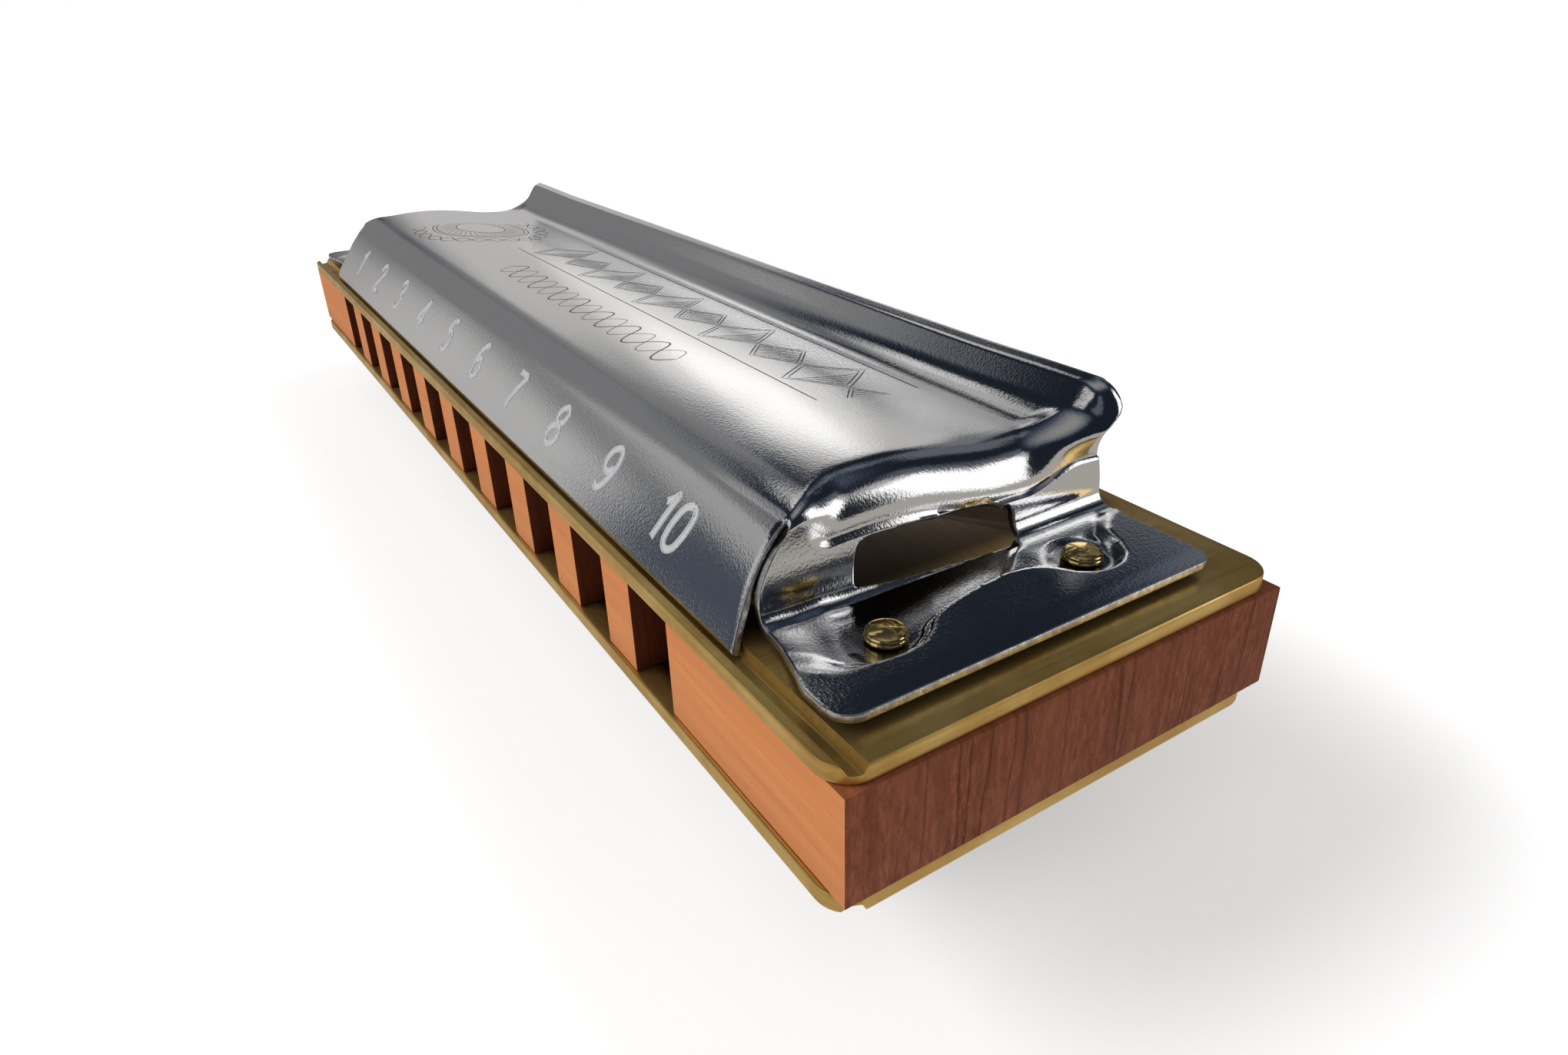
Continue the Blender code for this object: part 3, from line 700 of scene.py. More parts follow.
def end_row(y_top, z_top, share, along):
    """One line of points from the top, over the round-over, down the end wall
    and out to the flange's rim, and how much of the ridge each point carries.
    share runs from 0 at the slit to 1 at the back, along is the distance from the slit."""
    radius = 0.5 + 1.75 * ease(along / 3.6)
    radius += (1.15 - 2.25) * ease((share - 0.74) / 0.2)
    ridge = max(0.0, z_top - (8.40 - 0.06 * (y_top - 5.5))) if y_top > 5.9 else 0.0
    z_top = z_top - ridge
    rear_shift = WALL_REAR_Y - PROFILE[BACK, 0]

    angle = math.pi / 2 * np.arange(ARC_STEPS + 1) / ARC_STEPS
    x_arc = WALL_TOP_X - radius + radius * np.sin(angle)
    z_arc = z_top - radius * (1 - np.cos(angle))

    # a first guess of the flange's level at the foot of the wall
    y_guess = y_top + (1 - share) * WALL_FRONT_SHIFT + share * rear_shift
    z_foot = SEAT + flange_height(WALL_FOOT_X + WALL_FOOT_RADIUS, y_guess) + WALL_FOOT_RADIUS
    wall_top = z_top - radius
    t = np.arange(1, WALL_STEPS + 1) / WALL_STEPS
    z_wall = wall_top + (z_foot - wall_top) * t
    x_wall = WALL_TOP_X + (WALL_FOOT_X - WALL_TOP_X) * ease((8.2 - z_wall) / 3.2)

    angle = math.pi / 2 * np.arange(1, FOOT_STEPS + 1) / FOOT_STEPS
    x = np.concatenate([x_arc, x_wall, WALL_FOOT_X + WALL_FOOT_RADIUS * (1 - np.cos(angle))])
    z = np.concatenate([z_arc, z_wall, z_foot - WALL_FOOT_RADIUS * np.sin(angle)])
    # the ridge stands on top of all that, ending in a rounded fin which
    # overhangs the wall a little
    fin = fin_outline(x) * (np.arange(len(x)) <= ARC_STEPS)
    z = z + ridge * fin
    x = x + 0.85 * float(np.clip((y_top - 8.2) / 2.9, 0, 1)) * ease(ridge * fin / 1.2)
    front = WALL_FRONT_SHIFT * np.sin(np.pi / 2 * np.clip((8.3 - z) / 3.1, 0, 1))
    rear = rear_shift * (1 - ease((z - 7.8) / 1.5))
    y = y_top + (1 - share) * front + share * rear

    flange = flange_row(x[-1], y[-1], z[-1], share)
    x, y, z = (np.concatenate(pair) for pair in zip((x, y, z), flange))
    return x, y, z, np.concatenate([fin, np.zeros(FLANGE_STEPS)])


# ============================================================ the covers
def pinch_offsets():
    """The ridge's roll is pressed nearly flat, into a thin fin: how far each
    line of the profile moves, in Y and Z."""
    start, end = PROFILE[CREST, 3], PROFILE[BACK, 3]
    y, z, heading = PROFILE[CREST, :3]
    path = [(y, z)]
    for length, turn in ((0.35, 0), (0.34, -38), (0.5, 0), (0.40, -74)):
        for _ in range(12):
            heading += math.radians(turn) / 24
            y += length / 12 * math.cos(heading)
            z += length / 12 * math.sin(heading)
            heading += math.radians(turn) / 24
            path.append((y, z))
    path = np.array(path)
    far = np.concatenate([[0], np.cumsum(np.hypot(*np.diff(path, axis=0).T))])
    move = np.zeros((len(PROFILE), 2))
    for k in range(CREST, len(PROFILE)):
        at = min(1.0, (PROFILE[k, 3] - start) / (end - start)) * far[-1]
        goal = np.array([np.interp(at, far, path[:, axis]) for axis in (0, 1)])
        move[k] = goal - PROFILE[min(k, BACK), :2]
    return move


def cover_rows():
    """The right half of the cover, one line of points per step of the profile."""
    pinch = pinch_offsets()
    y_slit, z_slit, _, slit_distance = PROFILE[SLIT]
    y_back = PROFILE[BACK, 0]
    spread = 1 - (1 - np.linspace(0, 1, FLAT_POINTS)[:-1]) ** 1.35
    rows = []
    for k, (y, z, _, distance) in enumerate(PROFILE):
        if SLIT <= k <= BACK:
            share = (y - y_slit) / (y_back - y_slit)
            end_x, end_y, end_z, fin = end_row(y, z, share, distance - slit_distance)
        else:
            if k < SLIT:
                t = (z - PROFILE[0, 1]) / (z_slit - PROFILE[0, 1])
                x_end = 41.95 + (40.85 - 41.95) * t - 0.25 * math.sin(math.pi * t)
            else:
                x_end = rows[BACK][0][FLAT_POINTS - 1] - 0.02
            end_x, end_y, end_z, fin = (np.array([v]) for v in (x_end, y, z, 1.0))
        row_x = np.concatenate([np.maximum(spread * end_x[0], 1e-4), end_x])
        row_y = np.concatenate([np.full(FLAT_POINTS - 1, y), end_y])
        row_z = np.concatenate([np.full(FLAT_POINTS - 1, z), end_z])
        if k > SLIT:                      # the sheet lifts slightly towards its ends
            row_z = row_z + 0.13 * ease((row_x - 30) / 9.5) * ease((row_z - 6.9) / 1.2)
        if k >= CREST:
            pressed = np.concatenate([np.ones(FLAT_POINTS - 1), fin])
            row_y = row_y + pressed * pinch[k, 0]
            row_z = row_z + pressed * pinch[k, 1]
        rows.append((row_x, row_y, row_z))
    return rows


def cover_surface(rows):
    """Points, quads and normals of the whole outside, both halves."""
    points, middles = [], []
    for x, y, z in rows:
        left = np.stack([-x[::-1], y[::-1], z[::-1]], 1)[:-1]
        right = np.stack([x, y, z], 1)
        right[0, 0] = 0.0
        half = (len(left) + len(right)) // 2
        middles.append((len(points) + half, half))
        points += list(np.concatenate([left, right]))
    points = np.array(points)
    points[:, 2] += ripple(points[:, 0], points[:, 1])
    quads = []
    for (a, half_a), (b, half_b) in zip(middles, middles[1:]):
        half = min(half_a, half_b)
        quads += [(a + i, a + i + 1, b + i + 1, b + i) for i in range(-half, half)]
    quads = np.array(quads)
    corners = points[quads]
    face_normals = np.cross(corners[:, 2] - corners[:, 0], corners[:, 3] - corners[:, 1])
    normals = np.zeros_like(points)
    for k in range(4):
        np.add.at(normals, quads[:, k], face_normals)
    normals /= np.linalg.norm(normals, axis=1)[:, None] + 1e-15
    if normals[middles[len(middles) // 2][0]][2] < 0:
        normals = -normals
        quads = quads[:, ::-1]
    return points, quads, normals


def cut_vents(points, quads, normals):
    """Opens the vents: on the wall a point's height counts, on the foot its reach."""
    foot_x = np.interp(points[:, 1], VENT_FOOT[:, 0], VENT_FOOT[:, 1])
    x, y, z = np.abs(points[:, 0]), points[:, 1], points[:, 2]
    level = np.ones(len(points))
    near = (x > 39.5) & (x < 44) & (y > -8) & (y < 6.5) & (z < 8.6)
    level[near] = np.maximum(signed_distance(y[near], z[near], VENT), x[near] - foot_x[near])
    level[np.abs(level) < 0.004] = 0.004
    touched = (level[quads] < 0).any(1)
    faces = [tuple(quad) for quad in quads[~touched]]
    made, new_points, new_normals = {}, list(points), list(normals)

    def crossing(a, b):
        key = (min(a, b), max(a, b))
        if key not in made:
            t = level[a] / (level[a] - level[b])
            made[key] = len(new_points)
            new_points.append(points[a] + (points[b] - points[a]) * t)
            normal = normals[a] + (normals[b] - normals[a]) * t
            new_normals.append(normal / (np.linalg.norm(normal) + 1e-12))
        return made[key]

    for quad in quads[touched]:
        for tri in ((quad[0], quad[1], quad[2]), (quad[0], quad[2], quad[3])):
            kept = []
            for a, b in zip(tri, tri[1:] + tri[:1]):
                if level[a] > 0:
                    kept.append(int(a))
                if (level[a] > 0) != (level[b] > 0):
                    kept.append(crossing(int(a), int(b)))
            if len(kept) >= 3:
                faces.append(tuple(kept))
    # drop the points no face uses
    points, normals = np.array(new_points), np.array(new_normals)
    used = np.unique([i for face in faces for i in face])
    renumber = -np.ones(len(points), int)
    renumber[used] = np.arange(len(used))
    faces = [tuple(int(renumber[i]) for i in face) for face in faces]
    return points[used], faces, normals[used]


def thicken(outer, faces, normals, edge=0.055):
    """Gives the sheet its thickness and pulls its cut edges into a small round,
    so that they catch the light.  Also gives each face's material."""
    inner = outer - normals * SHEET
    count = len(outer)
    edges = {}
    for face in faces:
        for a, b in zip(face, face[1:] + face[:1]):
            edges.setdefault((min(a, b), max(a, b)), []).append((a, b))
    open_edges = [uses[0] for uses in edges.values() if len(uses) == 1]
    border = {}
    for a, b in open_edges:
        border.setdefault(a, []).append(b)
        border.setdefault(b, []).append(a)
    tangents = {a: outer[near[0]] - outer[near[1]]
                for a, near in border.items() if len(near) >= 2}
    inward, uses = np.zeros_like(outer), np.zeros((count, 1))
    for face in faces:
        if any(i in border for i in face):
            centre = outer[list(face)].mean(0)
            for i in face:
                inward[i] += centre
                uses[i] += 1
    inward = inward / np.maximum(uses, 1) - outer

    extra, rims = [], {}
    for a in border:
        pull, normal = inward[a].copy(), normals[a]
        if a in tangents:
            tangent = tangents[a] / (np.linalg.norm(tangents[a]) + 1e-12)
            pull -= tangent * (pull @ tangent)
        pull -= normal * (pull @ normal)
        length = np.linalg.norm(pull)
        pull = pull / length if length > 1e-9 else pull * 0
        top, bottom = outer[a].copy(), inner[a].copy()
        first = 2 * count + len(extra)
        extra += [top + pull * edge * 0.3 - normal * edge * 0.3, top - normal * edge,
                  bottom + normal * edge, bottom + pull * edge * 0.3 + normal * edge * 0.3]
        rims[a] = [a, *range(first, first + 4), a + count]
        outer[a] = top + pull * edge
        inner[a] = bottom + pull * edge
    solid = faces + [tuple(i + count for i in face[::-1]) for face in faces]
    for a, b in open_edges:
        rim_a, rim_b = rims[a], rims[b]
        solid += [(rim_b[k], rim_a[k], rim_a[k + 1], rim_b[k + 1]) for k in range(5)]
    face_mats = [0] * len(faces) + [1] * len(faces) + [2] * (5 * len(open_edges))
    return np.concatenate([outer, inner, np.array(extra)]), solid, face_mats


def make_cover(node, mats, flip):
    points, faces, face_mats = thicken(*cut_vents(*cover_surface(cover_rows())))
    if flip:
        points[:, 2] *= -1
    add_mesh(node + "_finish", points, faces, mats, smooth=60, slot="cover_steel",
             replaces=node, face_mats=face_mats)


# ============================================================ engraving and numbers
def ribbon(path, width, height, taper=True):
    """A low raised line on the cover.  path holds (x, distance up the cover)."""
    path = np.array(path, float)
    along = np.gradient(path, axis=0)
    along /= np.linalg.norm(along, axis=1)[:, None] + 1e-12
    sideways = np.stack([-along[:, 1], along[:, 0]], 1)
    verts, faces = [], []
    across, count = 5, len(path)
    for k, (point, side) in enumerate(zip(path, sideways)):
        from_end = min(k, count - 1 - k)
        row_width = width * (0.35 + 0.65 * min(1.0, from_end / 2.0)) if taper else width
        for j in range(across):
            t = -1 + 2 * j / (across - 1)
            x, up = point + side * (row_width / 2 * t)
            lift = height * math.cos(t * math.pi / 2) ** 0.8 if abs(t) < 1 else -0.02
            verts.append(on_cover(x, up, lift))
    for start in range(0, (count - 1) * across, across):
        for j in range(across - 1):
            a = start + j
            faces.append((a, a + 1, a + across + 1, a + across))
        faces.append((start + across - 1, start, start + across, start + 2 * across - 1))
    faces.append(tuple(range(across)))
    faces.append(tuple(reversed(range((count - 1) * across, count * across))))
    return verts, faces


def join(parts):
    verts, faces = [], []
    for part_verts, part_faces in parts:
        base = len(verts)
        verts += part_verts
        faces += [tuple(i + base for i in face) for face in part_faces]
    return verts, faces


# Strokes of the numerals, (across, up) in units of their size.
GLYPHS = {
    "1": [[(0.18, 1.22), (0.42, 1.42), (0.55, 1.62), (0.55, 1.3), (0.55, 0.6), (0.55, 0.0)]],
    "2": [[(0.12, 1.2), (0.2, 1.48), (0.5, 1.62), (0.82, 1.46), (0.86, 1.14), (0.62, 0.76),
           (0.28, 0.34), (0.1, 0.02)],
          [(0.1, 0.02), (0.36, 0.02), (0.62, 0.02), (0.92, 0.02)]],
    "3": [[(0.14, 1.32), (0.3, 1.56), (0.56, 1.6), (0.82, 1.38), (0.74, 1.04), (0.44, 0.88)],
          [(0.44, 0.88), (0.78, 0.76), (0.92, 0.44), (0.74, 0.1), (0.42, 0.0), (0.12, 0.2)]],
    "4": [[(0.7, 0.0), (0.7, 0.5), (0.7, 1.1), (0.7, 1.62)],
          [(0.7, 1.62), (0.44, 1.14), (0.16, 0.64), (0.06, 0.46)],
          [(0.06, 0.46), (0.4, 0.46), (0.7, 0.46), (0.98, 0.46)]],
    "5": [[(0.84, 1.6), (0.56, 1.6), (0.26, 1.6)], [(0.26, 1.6), (0.22, 1.3), (0.16, 0.92)],
          [(0.16, 0.92), (0.48, 1.04), (0.82, 0.86), (0.92, 0.5), (0.76, 0.14), (0.42, 0.0),
           (0.1, 0.16)]],
    "6": [[(0.8, 1.46), (0.56, 1.62), (0.3, 1.4), (0.14, 0.98), (0.1, 0.5), (0.26, 0.12),
           (0.54, 0.0), (0.82, 0.18), (0.9, 0.5), (0.74, 0.84), (0.46, 0.92), (0.18, 0.7)]],
    "7": [[(0.1, 1.6), (0.42, 1.6), (0.74, 1.6), (0.94, 1.6)],
          [(0.94, 1.6), (0.72, 1.16), (0.5, 0.6), (0.4, 0.0)]],
    "8": [[(0.5, 0.86), (0.22, 1.02), (0.16, 1.32), (0.34, 1.56), (0.56, 1.6), (0.8, 1.4),
           (0.78, 1.08), (0.5, 0.86), (0.2, 0.7), (0.08, 0.38), (0.26, 0.06), (0.54, 0.0),
           (0.84, 0.16), (0.92, 0.48), (0.78, 0.74), (0.5, 0.86)]],
    "9": [[(0.82, 0.92), (0.54, 0.7), (0.26, 0.78), (0.1, 1.1), (0.18, 1.44), (0.46, 1.62),
           (0.74, 1.5), (0.9, 1.12), (0.86, 0.64), (0.7, 0.22), (0.44, 0.0), (0.2, 0.14)]],
    "0": [[(0.5, 1.62), (0.2, 1.42), (0.1, 1.0), (0.1, 0.6), (0.2, 0.18), (0.5, 0.0), (0.8, 0.18),
           (0.9, 0.6), (0.9, 1.0), (0.8, 1.42), (0.5, 1.62)]],
}
NUMBER_SIZE = 1.6
NUMBER_UP = 1.6                       # the numbers' feet, up from the cover's front edge
NUMBER_PITCH, NUMBER_SHIFT = 7.55, -0.2
NUMBER_LEAN = 0.27
DIGIT_ADVANCE = 0.98                  # in units of the size


def hole_number(i, mat):
    """Embossed hole number: a double outline with a pebbled ground between."""
    text = str(i + 1)
    middle = NUMBER_SHIFT + NUMBER_PITCH * (i - 4.5) - NUMBER_LEAN * 0.8 * NUMBER_SIZE
    parts = []
    for place, digit in enumerate(text):
        left = middle + DIGIT_ADVANCE * (place - len(text) / 2) * NUMBER_SIZE
        for stroke in GLYPHS[digit]:
            x, up = catmull(stroke, 9).T
            line = np.stack([left + (x + NUMBER_LEAN * up) * NUMBER_SIZE,
                             NUMBER_UP + up * NUMBER_SIZE], 1)
            along = np.gradient(line, axis=0)
            along /= np.linalg.norm(along, axis=1)[:, None] + 1e-12
            side = np.stack([-along[:, 1], along[:, 0]], 1)
            for offset in (-0.15, 0.15):
                parts.append(ribbon(line + side * offset, width=0.14, height=0.06, taper=False))
            parts.append(ribbon(line, width=0.32, height=0.02, taper=False))
    add_mesh(f"hole_number_{text}", *join(parts), mat, smooth=50, slot="cover_steel")


LINE_WIDTH, LINE_HEIGHT = 0.16, 0.007
THIN_LINE = LINE_WIDTH * 0.8
BAND_UP = 17.9                        # middle of the band, up from the cover's front edge
BAND_LEFT = -16.5
LOZENGES, LOZENGE_HALF = 10, 2.55
HATCH_STEP = 0.36
INNER_SCALE = 0.86                    # inner outline of a lozenge
ROSETTE_X, ROSETTE_UP = -28.0, 14.6
ROSETTE_RADII = (7.2, 5.6)            # in X and up the cover


def engraved(path, width=LINE_WIDTH):
    return ribbon(path, width, LINE_HEIGHT)


def straight(start, end, count, width=LINE_WIDTH):
    start, end = np.array(start, float), np.array(end, float)
    return engraved([start + (end - start) * t for t in np.linspace(0, 1, count)], width)


def lozenge(k):
    """Two outlines, hatched whole or only on the right."""
    tall = 3.0 if k % 2 == 0 else 2.1
    x = BAND_LEFT + 2 * LOZENGE_HALF * k + LOZENGE_HALF
    parts = []
    for scale in (1.0, INNER_SCALE):
        wide, high = LOZENGE_HALF * scale, tall * scale
        corners = [(x + wide, BAND_UP), (x, BAND_UP + high), (x - wide, BAND_UP),
                   (x, BAND_UP - high)]
        parts += [straight(a, b, 9) for a, b in zip(corners, corners[1:] + corners[:1])]
    for j in range(1, int(2 * LOZENGE_HALF / HATCH_STEP)):
        at = x - LOZENGE_HALF + j * HATCH_STEP
        reach = tall * INNER_SCALE * (1 - abs(at - x) / (LOZENGE_HALF * INNER_SCALE))
        if reach > 0.15 and (k % 2 == 1 or at > x):
            parts.append(straight((at, BAND_UP - reach), (at, BAND_UP + reach), 9, THIN_LINE))
    return parts


def rosette():
    """Rings round a wreath of slanting strokes."""

    def at(scale, angle):
        return np.stack([ROSETTE_X + ROSETTE_RADII[0] * scale * np.cos(angle),
                         ROSETTE_UP + ROSETTE_RADII[1] * scale * np.sin(angle)], -1)

    parts = []
    turn = np.linspace(0, 2 * math.pi, 900)
    for phase in (0.0, math.pi):
        parts.append(engraved(at(1.0 + 0.10 * np.sin(12 * turn + phase), turn)))
    for scale in (0.78, 0.72, 0.40):
        parts.append(engraved(at(scale, np.linspace(0, 2 * math.pi, 160))))
    for k in range(40):
        angle = 2 * math.pi * k / 40
        parts.append(straight(at(0.42, angle), at(0.70, angle + 0.2), 5, THIN_LINE))
    return parts


def ornament(mat):
    """A plain geometric band: hatched lozenges between two rules, a plaited
    rule below and a rosette at the left end."""
    parts = []
    for k in range(LOZENGES):
        parts += lozenge(k)
    band_right = BAND_LEFT + 2 * LOZENGE_HALF * LOZENGES
    for up in (BAND_UP - 3.5, BAND_UP + 3.5):
        parts.append(straight((BAND_LEFT, up), (band_right, up), 60, LINE_WIDTH * 1.2))
    t = np.linspace(0, 1, 420)
    for sign, width in ((1, 0.20), (-1, 0.10)):
        wave = 11.2 + sign * 1.15 * np.sin(t * 2 * math.pi * 7)
        parts.append(engraved(np.stack([-9 + 30 * t, wave], 1), width))
    parts += rosette()
    add_mesh("engraved_ornament", *join(parts), mat, smooth=50, slot="cover_steel")


# ============================================================ comb, plates, reeds
def reed_span(side, i):
    """The tongue's two ends along Y, low one first."""
    node = f"{side}_reed_{i + 1:02d}"
    low, high = box_mm(node)
    root = tongue_joint(node)["pos_m"][1] * 1000
    return (root, high[1]) if side == "blow" else (low[1], root)


def reed_half_width(i):
    return 0.5 * (1.95 - 0.25 * i / 9)


def comb_loops(inset):
    """The comb's toothed outline, open at the front, and its nail holes."""
    x, y = COMB_X - inset, COMB_Y - inset
    outline = [(-x, y), (-x, -y)]
    for i, hole_x in enumerate(HOLE_X):
        low, high = hole_x - CHANNEL_WIDTH / 2 - inset, hole_x + CHANNEL_WIDTH / 2 + inset
        end = reed_span("draw", i)[1] + 0.6 + inset
        outline += [(low, -y), (low, end), (high, end), (high, -y)]
    outline += [(x, -y), (x, y)]
    holes = [circle(side * NAIL_X, nail_y, 0.5 + inset, 16)
             for side in (-1, 1) for nail_y in NAIL_YS]
    return [outline, *holes]


# Section of the trough: (y from its middle, height over the plate's outside).
TROUGH = [(-0.72, 0.4), (-0.5, 0.0), (-0.27, -0.40), (-0.2, -0.45), (0.2, -0.45), (0.3, -0.40),
          (0.5, 0.0), (0.72, 0.4)]


def cut_trough(ob, mat, sign):
    """Cuts the trough for the cover's front edge."""
    count, end = len(TROUGH), PLATE_X + 2
    verts = [(x, TROUGH_Y + y, sign * (PLATE_OUT + z)) for x in (-end, end) for y, z in TROUGH]
    faces = [tuple(range(count)), tuple(reversed(range(count, 2 * count)))]
    faces += [(k, k + count, (k + 1) % count + count, (k + 1) % count) for k in range(count)]
    cutter = add_mesh("trough_cutter", verts, faces, mat, body=None)
    cut = ob.modifiers.new("trough", "BOOLEAN")
    cut.operation = "DIFFERENCE"
    cut.solver = "EXACT"
    cut.object = cutter
    graph = bpy.context.evaluated_depsgraph_get()
    solid = bpy.data.meshes.new_from_object(ob.evaluated_get(graph))
    ob.modifiers.clear()
    ob.data = solid
    smooth_below(solid, 35)
    bpy.data.objects.remove(cutter, do_unlink=True)


def make_plate(side, node, mat):
    """A reed plate with a slot for each tongue."""
    blow = side == "blow"
    root_gap, tip_gap, side_gap = 0.12, 0.26, 0.14

    def loops(inset):
        out = [round_box(-PLATE_X + inset, PLATE_X - inset, PLATE_FRONT + inset,
                         PLATE_REAR - inset, 1.6 - inset, 10)]
        for i, x in enumerate(HOLE_X):
            half = reed_half_width(i) + side_gap
            low, high = reed_span(side, i)
            low, high = ((low + root_gap, high + tip_gap) if blow
                         else (low - tip_gap, high - root_gap))
            out.append(round_box(x - half - inset, x + half + inset, low - inset, high + inset,
                                 0.08 + inset, 2))
        return out

    z_low, z_high = (PLATE_IN, PLATE_OUT) if blow else (-PLATE_OUT, -PLATE_IN)
    ob = rounded_slab(node.replace("reed_plate", "plate_finish"), loops, z_low, z_high,
                      edge=0.13, mat=mat, steps=3, slot="plate_brass", replaces=node)
    cut_trough(ob, mat, 1 if blow else -1)


REED_THICK = 0.26
REED_PAD_LENGTH, REED_PAD_HALF = 2.8, 1.3


def make_reed(side, i, mat):
    """A riveted pad and the thin tongue that springs from it, under its plate."""
    node = f"{side}_reed_{i + 1:02d}"
    low, high = reed_span(side, i)
    root, tip, sign = (low, high, 1) if side == "blow" else (high, low, -1)
    length = abs(tip - root)
    half = reed_half_width(i)
    face = PLATE_IN if side == "blow" else -PLATE_OUT
    # stations along the reed: (distance from the root, half width)
    pad = REED_PAD_HALF
    rows = [(-REED_PAD_LENGTH, pad * 0.9), (-REED_PAD_LENGTH + 0.12, pad), (-0.35, pad),
            (-0.12, pad * 0.97), (0.05, half * 1.12), (0.35, half)]
    steps = 26
    rows += [(0.35 + (length - 0.35) * k / steps, half + (half * 0.88 - half) * k / steps)
             for k in range(1, steps + 1)]
    verts, faces = [], []
    across = 7
    for along, width in rows:
        t = max(0.0, min(1.0, along / length))
        gap = 0.03 + 0.09 * t ** 1.5
        thick = REED_THICK
        if along > 0:
            thick += -0.11 * math.sin(math.pi * min(1.0, t * 1.25)) + 0.02 * (t > 0.85)
        for layer in (0, 1):
            for j in range(across):
                u = -1 + 2 * j / (across - 1)
                edge = 0.03 if abs(u) == 1 else 0.0
                depth = thick - edge if layer else edge
                verts.append((HOLE_X[i] + sign * u * width, root + sign * along,
                              face - gap - depth))
    ring = 2 * across
    last = (len(rows) - 1) * ring
    for p in range(0, last, ring):
        q = p + ring
        for j in range(across - 1):
            faces.append((p + j, p + j + 1, q + j + 1, q + j))
            faces.append((p + across + j + 1, p + across + j, q + across + j, q + across + j + 1))
        faces.append((p + across - 1, p + ring - 1, q + ring - 1, q + across - 1))
        faces.append((p + across, p, q, q + across))
    for start in (0, last):
        for j in range(start, start + across - 1):
            cap = (j, j + across, j + across + 1, j + 1)
            faces.append(cap if start == 0 else cap[::-1])
    ob = add_mesh(node + "_finish", verts, faces, mat, smooth=30, body=None, slot="reed_brass",
                  replaces=node)
    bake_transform(ob)


# ============================================================ rivets, nails and pins
# Outlines as (radius, height), bottom to top.  The rivet's head is measured from the reed's
# side of the pad, its tail from the far side of the plate, the others from their seats.
RIVET_HEAD = [(0, -0.30), (0.3, -0.285), (0.55, -0.23), (0.75, -0.12), (0.82, -0.02),
              (0.80, 0.01), (0.45, 0.01)]
RIVET_TAIL = [(0.45, -0.06), (0.52, -0.03), (0.50, 0.012), (0.3, 0.03), (0, 0.032)]
NAIL_HEAD = [(0.45, 0.04), (0.90, 0.05), (0.955, 0.08), (0.985, 0.14), (0.98, 0.20), (0.95, 0.25),
             (0.925, 0.27), (0.925, 0.30), (0.94, 0.33), (0.93, 0.39), (0.89, 0.44), (0.82, 0.475),
             (0.68, 0.51), (0.50, 0.54), (0.28, 0.56), (0, 0.57)]
PIN_HEAD = [(0.36, 0.0), (0.68, 0.01), (0.74, 0.07), (0.68, 0.15), (0.48, 0.21), (0.24, 0.235),
            (0, 0.24)]


def raised(outline, z):
    return [(radius, z + height) for radius, height in outline]


def make_rivet(side, i, mat):
    near, far = (PLATE_IN, PLATE_OUT) if side == "blow" else (-PLATE_OUT, -PLATE_IN)
    profile = raised(RIVET_HEAD, near - 0.29) + raised(RIVET_TAIL, far)
    turned(f"{side}_rivet_{i + 1:02d}", profile, 28, mat, slot="rivet_brass")


def make_nail(node, mat):
    profile = raised([(0, -2.3), (0.45, -1.6)], COMB_Z) + raised(NAIL_HEAD, SEAT + 0.03)
    turned(node, profile, 56, mat, flip=box_mm(node)[1][2] < 0, uneven=0.012, smooth=40,
           slot="nail_brass")


def make_pin(node, mat):
    profile = raised([(0, -2.3), (0.36, -1.7)], COMB_Z) + raised(PIN_HEAD, PLATE_OUT)
    turned(node, profile, 32, mat, flip=box_mm(node)[1][2] < 0, slot="nail_brass")


# ============================================================ build
wood = wood_material()
plate_brass = brass_material("plate_brass_finish", light=(1.0, 0.71, 0.25),
                             dark=(0.76, 0.47, 0.13), rough=0.32, covered=True, metallic=0.93)
reed_brass = brass_material("reed_brass_finish", light=(0.86, 0.68, 0.34),
                            dark=(0.70, 0.52, 0.22), rough=0.20, brush=(1600, 90, 1600),
                            tarnish=0.2)
rivet_brass = brass_material("rivet_brass_finish", light=(0.70, 0.52, 0.22),
                             dark=(0.50, 0.35, 0.13), rough=0.24, brush=(900, 900, 900))
cover_mats = (steel_material(), dull_steel_material(), cut_edge_material())
nail_brass = nail_material()
engraved_line = engraved_material()
number_steel = number_material()

rounded_slab("comb_finish", comb_loops, -COMB_Z, COMB_Z, edge=0.10, mat=wood, steps=2,
             slot="comb_wood", replaces="comb")
make_plate("blow", "upper_reed_plate", plate_brass)
make_plate("draw", "lower_reed_plate", plate_brass)
make_cover("top_cover", cover_mats, flip=False)
make_cover("bottom_cover", cover_mats, flip=True)
for i in range(HOLES):
    hole_number(i, number_steel)
    for side in ("blow", "draw"):
        make_reed(side, i, reed_brass)
        make_rivet(side, i, rivet_brass)
ornament(engraved_line)
for node in sorted(frame["nodes"]):
    if "_nail_" in node:
        make_nail(node, nail_brass)
    elif "_plate_pin_" in node:
        make_pin(node, nail_brass)


